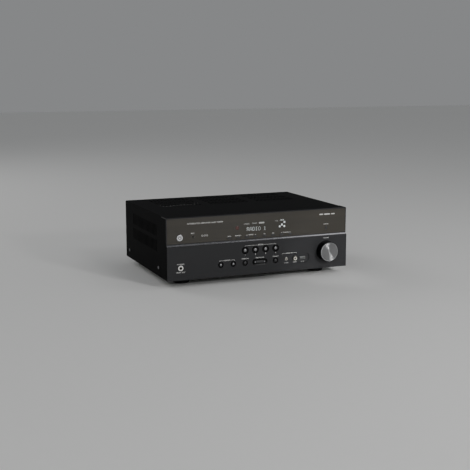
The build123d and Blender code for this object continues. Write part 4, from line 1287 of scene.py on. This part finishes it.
@dataclass
class FrontSockets:
    """Rings, black sleeves of painted shade inside the bores, and insulators that finish the front sockets.

    Args:
        phones_radius: the headphone ring's outer radius.
        phones_bore: the radius of its hole.
        jack_radius: the small jacks' rings' outer radius.
    """

    phones_radius: float = 5.9
    phones_bore: float = 3.2
    jack_radius: float = 2.9

    def build(self) -> None:
        """Builds the headphone ring, the small jacks' rings and the picture socket's insulator."""
        self.phones()
        self.small_jacks()
        self.picture()
        self.flat_tongue()

    def tube(self, name: str, outline: Outline, centre: Vector, finish: Finish, slot: str) -> None:
        """Makes one closed turned ring.

        Args:
            name: the piece's name.
            outline: its section, (radius, height).
            centre: its middle.
            finish: its finish.
            slot: the record's slot that its finish stands for, handed on to the piece; not used.
        """
        ring = Shape(name, finish, slot)
        ring.turned(outline, centre)
        ring.build()

    def shade_lining(self, name: str, radius: float, deep: float, centre: Vector) -> None:
        """Makes a thin black sleeve inside a bore: painted shade, so that the bore reads as a dark hole.

        Args:
            name: the piece's name.
            radius: the bore's radius.
            deep: how far in the lining goes.
            centre: the bore's mouth.
        """
        outer, inner = radius - 0.02, radius - 0.1
        outline = [(outer, -0.5), (outer, -deep), (inner, -deep), (inner, -0.5)]
        self.tube(name, outline, centre, BLACK, "black_moulding")

    def phones(self) -> None:
        """Makes the headphone jack's rolled ring."""
        place = middle("headphone_jack")
        centre = Vector((place.x, box("headphone_jack")[0].y - 0.12, place.z))
        r, bore = self.phones_radius, self.phones_bore
        ring = [(bore + 0.02, -0.55), (bore + 0.02, -0.4), (bore + 0.5, 0)]
        ring += arc((r - 0.6, -0.6), 0.6, 90, 0, 5)
        self.tube("phones_ring", ring, centre, DULL_NICKEL, "nickel_socket")
        # a black sleeve down the headphone bore: painted shade
        self.shade_lining("phones_shade_lining", bore, 26, centre)

    def small_jacks(self) -> None:
        """Makes the rings of the microphone and portable jacks."""
        power, video = middle("power_button"), middle("video_socket")
        mic = Vector((power.x + 31.0, box("display_window")[0].y - 0.2, power.z))
        portable = Vector((video.x - 21.0, box("front_moulding")[0].y + 1.2, video.z))
        r = self.jack_radius
        ring = [(1.82, -0.02), (2.1, 0.12), (r - 0.3, 0.12), (r, -0.02), (r, -0.4), (1.82, -0.4)]
        for name, centre, finish in (("mic", mic, GLOSS_BLACK), ("portable", portable, NICKEL)):
            self.tube(f"{name}_ring", ring, centre, finish, "nickel_socket")
            # a black sleeve down each small jack's bore: painted shade
            self.shade_lining(f"{name}_lining", 1.8, 12, centre)

    def picture(self) -> None:
        """Makes the picture socket's black insulator, ivory face and black collar."""
        place = middle("video_socket")
        centre = Vector((place.x, box("video_socket")[0].y, place.z))
        insulator = [(1.66, 0.01), (2.3, 0.01), (2.3, 0.06), (1.66, 0.06)]
        self.tube("picture_insulator", insulator, centre, BLACK, "nickel_socket")
        contact = [(2.34, 0.01), (4.1, 0.01), (4.0, 0.1), (2.4, 0.1)]
        self.tube("picture_contact", contact, centre, IVORY, "nickel_socket")
        collar = [(4.2, -2.38), (5.9, -2.38), (5.9, -1.2), (4.2, -1.2)]
        self.tube("picture_collar", collar, centre, BLACK, "black_moulding")
        # a black sleeve down the picture socket's bore: painted shade
        self.shade_lining("picture_shade_lining", 1.65, 12, centre)

    def flat_tongue(self) -> None:
        """Makes the flat socket's tongue."""
        low, high = box("flat_socket")
        centre = Vector(((low.x + high.x) / 2, low.y + 0.6, (low.z + high.z) / 2 + 1.15))
        tongue = Shape("flat_tongue", BLACK, "socket_shell")
        tongue.plate(rounded(11.3, 1.55, 0.2), [(0, -11), (0, -0.1), (0.2, 0)], centre)
        tongue.build()


@dataclass
class RearTerminals:
    """Inserts, collars and print that finish the rear.

    Args:
        phono_pitch: the distance from one phono socket to the next.
        phono_edge: how far inside their block's edge the phono sockets' middles stand.
        port_pitch: the distance from one digital picture socket to the next.
    """

    phono_pitch: float = 15.0
    phono_edge: float = 8.0
    port_pitch: float = 25.0

    def __post_init__(self) -> None:
        """Reads where the rear panel's outer face stands."""
        self.rear = box("rear_panel")[1].y

    def build(self) -> None:
        """Builds the phono inserts, the posts' collars, the ports' tongues and the print."""
        self.phono_inserts()
        self.post_collars()
        self.port_tongues()
        self.rear_print()

    def phono_inserts(self) -> None:
        """Makes each phono socket's coloured insert and skirt: white above red, in pairs."""
        low, high = box("phono_sockets")
        ring = [(1.66, 0.01), (3.2, 0.01), (3.2, 0.06), (1.66, 0.06)]
        skirt = [(4.2, 0.02), (5.9, 0.02), (5.5, 1.1), (4.2, 1.3)]
        rows = (("white", WHITE, high.z - self.phono_edge), ("red", RED, low.z + self.phono_edge))
        for colour, finish, z in rows:
            inserts = Shape(f"phono_inserts_{colour}", finish, "nickel_socket")
            for i in range(6):
                x = (low.x + high.x) / 2 + (i - 2.5) * self.phono_pitch
                inserts.turned(ring, Vector((x, high.y, z)), Facing.BACK, 40)
                inserts.turned(skirt, Vector((x, self.rear, z)), Facing.BACK, 40)
            inserts.build()

    def post_collars(self) -> None:
        """Makes the red and black collars that the post caps screw down to."""
        section = [(6.2, 0.05), (9.25, 0.05), (9.25, 2.4), (8.6, 3.15), (3.1, 3.15), (3.1, 3.02)]
        section.append((6.2, 3.02))
        for number in range(1, 5):
            place = middle(f"post_cap_{number}")
            finish, slot = (BLACK, "black_cap") if number % 2 else (RED, "red_cap")
            collar = Shape(f"post_collar_{number}", finish, slot)
            collar.turned(section, Vector((place.x, self.rear, place.z)), Facing.BACK)
            collar.build()

    def port_tongues(self) -> None:
        """Makes the black tongue in each digital picture socket."""
        low, high = box("av_sockets")
        tongues = Shape("port_tongues", BLACK, "socket_shell")
        levels = [(0, -7.8), (0, -0.1), (0.15, 0)]
        for i in range(5):
            centre = Vector((low.x + 7.5 + self.port_pitch * i, high.y - 1.0, (low.z + high.z) / 2 + 0.3))
            tongues.plate(rounded(10.5, 1.3, 0.2), levels, centre, Facing.BACK)
        tongues.build()

    def rear_print(self) -> None:
        """Prints the rear panel's plain words and lines."""
        ink = Print("rear_print", INK, "black_steel", face=self.rear, facing=Facing.BACK)
        ports, phono, block = middle("av_sockets"), middle("phono_sockets"), middle("speaker_block")
        inlet, aerial = middle("ac_inlet"), middle("tuner_module")
        for i, word in enumerate(("IN 1", "IN 2", "IN 3", "IN 4", "OUT")):
            ink.words(word, ports.x + (i - 2) * self.port_pitch, ports.z + 8, 2.6)
        for i in range(6):
            ink.words(str(i + 1), phono.x + (i - 2.5) * self.phono_pitch, phono.z - 18.5, 2.4)
        ink.words("AUDIO", phono.x, phono.z + 19, 3.0, 1.2)
        ink.words("SPEAKERS", block.x - 14, block.z + 24, 3.2, 1.2)
        ink.bar(block.x - 14, block.z + 21, 118, 0.5)
        ink.words("AC IN", inlet.x, inlet.z + 18, 3.0, 1.2)
        ink.words("AERIAL", aerial.x, aerial.z + 14, 2.6)
        ink.build()


# ---- the studio --------------------------------------------------------------------------------


@dataclass(frozen=True)
class Lamp:
    """A studio lamp, its lengths in metres.

    Args:
        name: its name.
        place: where it hangs.
        size: the side of a soft panel, or the width of a lamp with a cone.
        watts: its power.
        cone: the whole angle of its cone in degrees, or 0 for a soft panel.
    """

    name: str
    place: tuple[float, float, float]
    size: float
    watts: float
    cone: float = 0.0

    def hang(self, target: Vector) -> None:
        """Hangs the lamp.

        Args:
            target: the point that it looks at.
        """
        light = bpy.data.lights.new(self.name, "SPOT" if self.cone else "AREA")
        light.energy = self.watts
        if self.cone:
            light.spot_size = math.radians(self.cone)
            light.spot_blend = 0.2
            light.shadow_soft_size = self.size / 2
        else:
            light.size = self.size
        lamp = bpy.data.objects.new(self.name, light)
        lamp.location = self.place
        lamp.rotation_euler = (target - Vector(self.place)).to_track_quat("-Z", "Y").to_euler()
        bpy.context.scene.collection.objects.link(lamp)


# A key and a low panel at the right, a weak one at the left, one overhead and one behind.
PANELS = (
    Lamp("key", (0.9, -2.5, 2.2), 0.9, 13.0),
    Lamp("low", (0.8, -2.3, 0.9), 0.22, 14.0),
    Lamp("left", (-1.6, -2.2, 1.4), 1.2, 5.0),
    Lamp("overhead", (1.25, -0.5, 1.8), 0.6, 2.2),
    Lamp("back", (-1.6, 2.2, 1.6), 1.0, 14.0),
)
# A narrow cone on the knob alone, for the bow-tie glint across its grooves.
GLINT = Lamp("glint", (0.8, -2.3, 0.9), 0.2, 800.0, cone=1.35)
# Pale paint on the studio's floor: an even, matte light grey.
FLOOR_PAINT = Finish("studio_floor_pale", "f2f2f0", 0.6, grain=6.0, depth=0.0, mottle=0.01)


@dataclass
class Studio:
    """The floor, the soft lights and the camera, in metres.

    Args:
        lens: the camera's focal length in millimetres.
        sensor: its sensor's width in millimetres.
        bearing: how far it looks round from straight ahead towards +X, in degrees.
        pitch: how far it looks down, in degrees.
        from_front: how far in front of the lower face it stands.
        from_side: how far to the left of the object's middle it stands.
        above: how far above the moulding's underside it stands.
        floor_half: half the floor's side.
    """

    lens: float = 70.3
    sensor: float = 36.0
    bearing: float = 22.8
    pitch: float = 10.02
    from_front: float = 1.8183
    from_side: float = 0.8253
    above: float = 0.4399
    floor_half: float = 9.0

    def build(self) -> None:
        """Builds the floor, the world, the lights and the camera."""
        self.floor()
        self.world()
        for lamp in PANELS:
            lamp.hang(Vector((0, 0, 0.07)))
        GLINT.hang(middle("volume_knob") * MM)
        self.camera()

    def floor(self) -> None:
        """Lays a wide pale floor that the object stands on."""
        bm = bmesh.new()
        bmesh.ops.create_grid(bm, x_segments=8, y_segments=8, size=self.floor_half)
        mesh = bpy.data.meshes.new("floor")
        bm.to_mesh(mesh)
        bm.free()
        floor = bpy.data.objects.new("floor", mesh)
        bpy.context.scene.collection.objects.link(floor)
        mesh.materials.append(FLOOR_PAINT.material())

    def world(self) -> None:
        """Fills the room with an even pale light."""
        world = bpy.data.worlds.new("studio_light")
        bpy.context.scene.world = world
        world.use_nodes = True
        background = world.node_tree.nodes["Background"]
        background.inputs["Color"].default_value = linear("e8eaec")
        background.inputs["Strength"].default_value = 0.3

    def camera(self) -> None:
        """Stands the camera to the left of the object, looking round to it and a little down."""
        lens = bpy.data.cameras.new("camera")
        lens.lens = self.lens
        lens.sensor_width = self.sensor
        camera = bpy.data.objects.new("camera", lens)
        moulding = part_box("front_moulding")[0]
        camera.location = (-self.from_side, moulding.y - self.from_front, moulding.z + self.above)
        bearing, pitch = math.radians(self.bearing), math.radians(self.pitch)
        flat = math.cos(pitch)
        ahead = Vector((math.sin(bearing) * flat, math.cos(bearing) * flat, -math.sin(pitch)))
        camera.rotation_euler = ahead.to_track_quat("-Z", "Y").to_euler()
        bpy.context.scene.collection.objects.link(camera)
        bpy.context.scene.camera = camera


# ---- all together ------------------------------------------------------------------------------


def round_buttons() -> list[RoundButton]:
    """Lists the round buttons of the lower face.

    Returns:
        The four mode buttons, the two input buttons and the two plain ones.
    """
    # the silver-grey middles of the mode and input buttons are partly a painted highlight
    modes = [RoundButton(f"mode_button_{i}", 6.5, 8.2, 0.5, BUTTON_PAINT) for i in range(1, 5)]
    inputs = [RoundButton(f"input_button_{way}", 4.9, 6.5, 0.5, BUTTON_PAINT) for way in ("down", "up")]
    plain = [RoundButton(f"{use}_button", 4.9, 6.5, 0.62, BUTTON_DARK) for use in ("tone", "straight")]
    return modes + inputs + plain


def main() -> None:
    """Builds every sub-assembly in order."""
    logging.basicConfig(level=logging.INFO, format="%(name)s: %(message)s")
    dress_cad_nodes()
    controls = [*round_buttons(), ProgramRocker(), WindowButtons(), VolumeControl()]
    for assembly in (Case(), Front(), *controls, FrontSockets(), RearTerminals(), Studio()):
        assembly.build()
    bpy.context.view_layer.update()


if __name__ == "__main__":
    main()
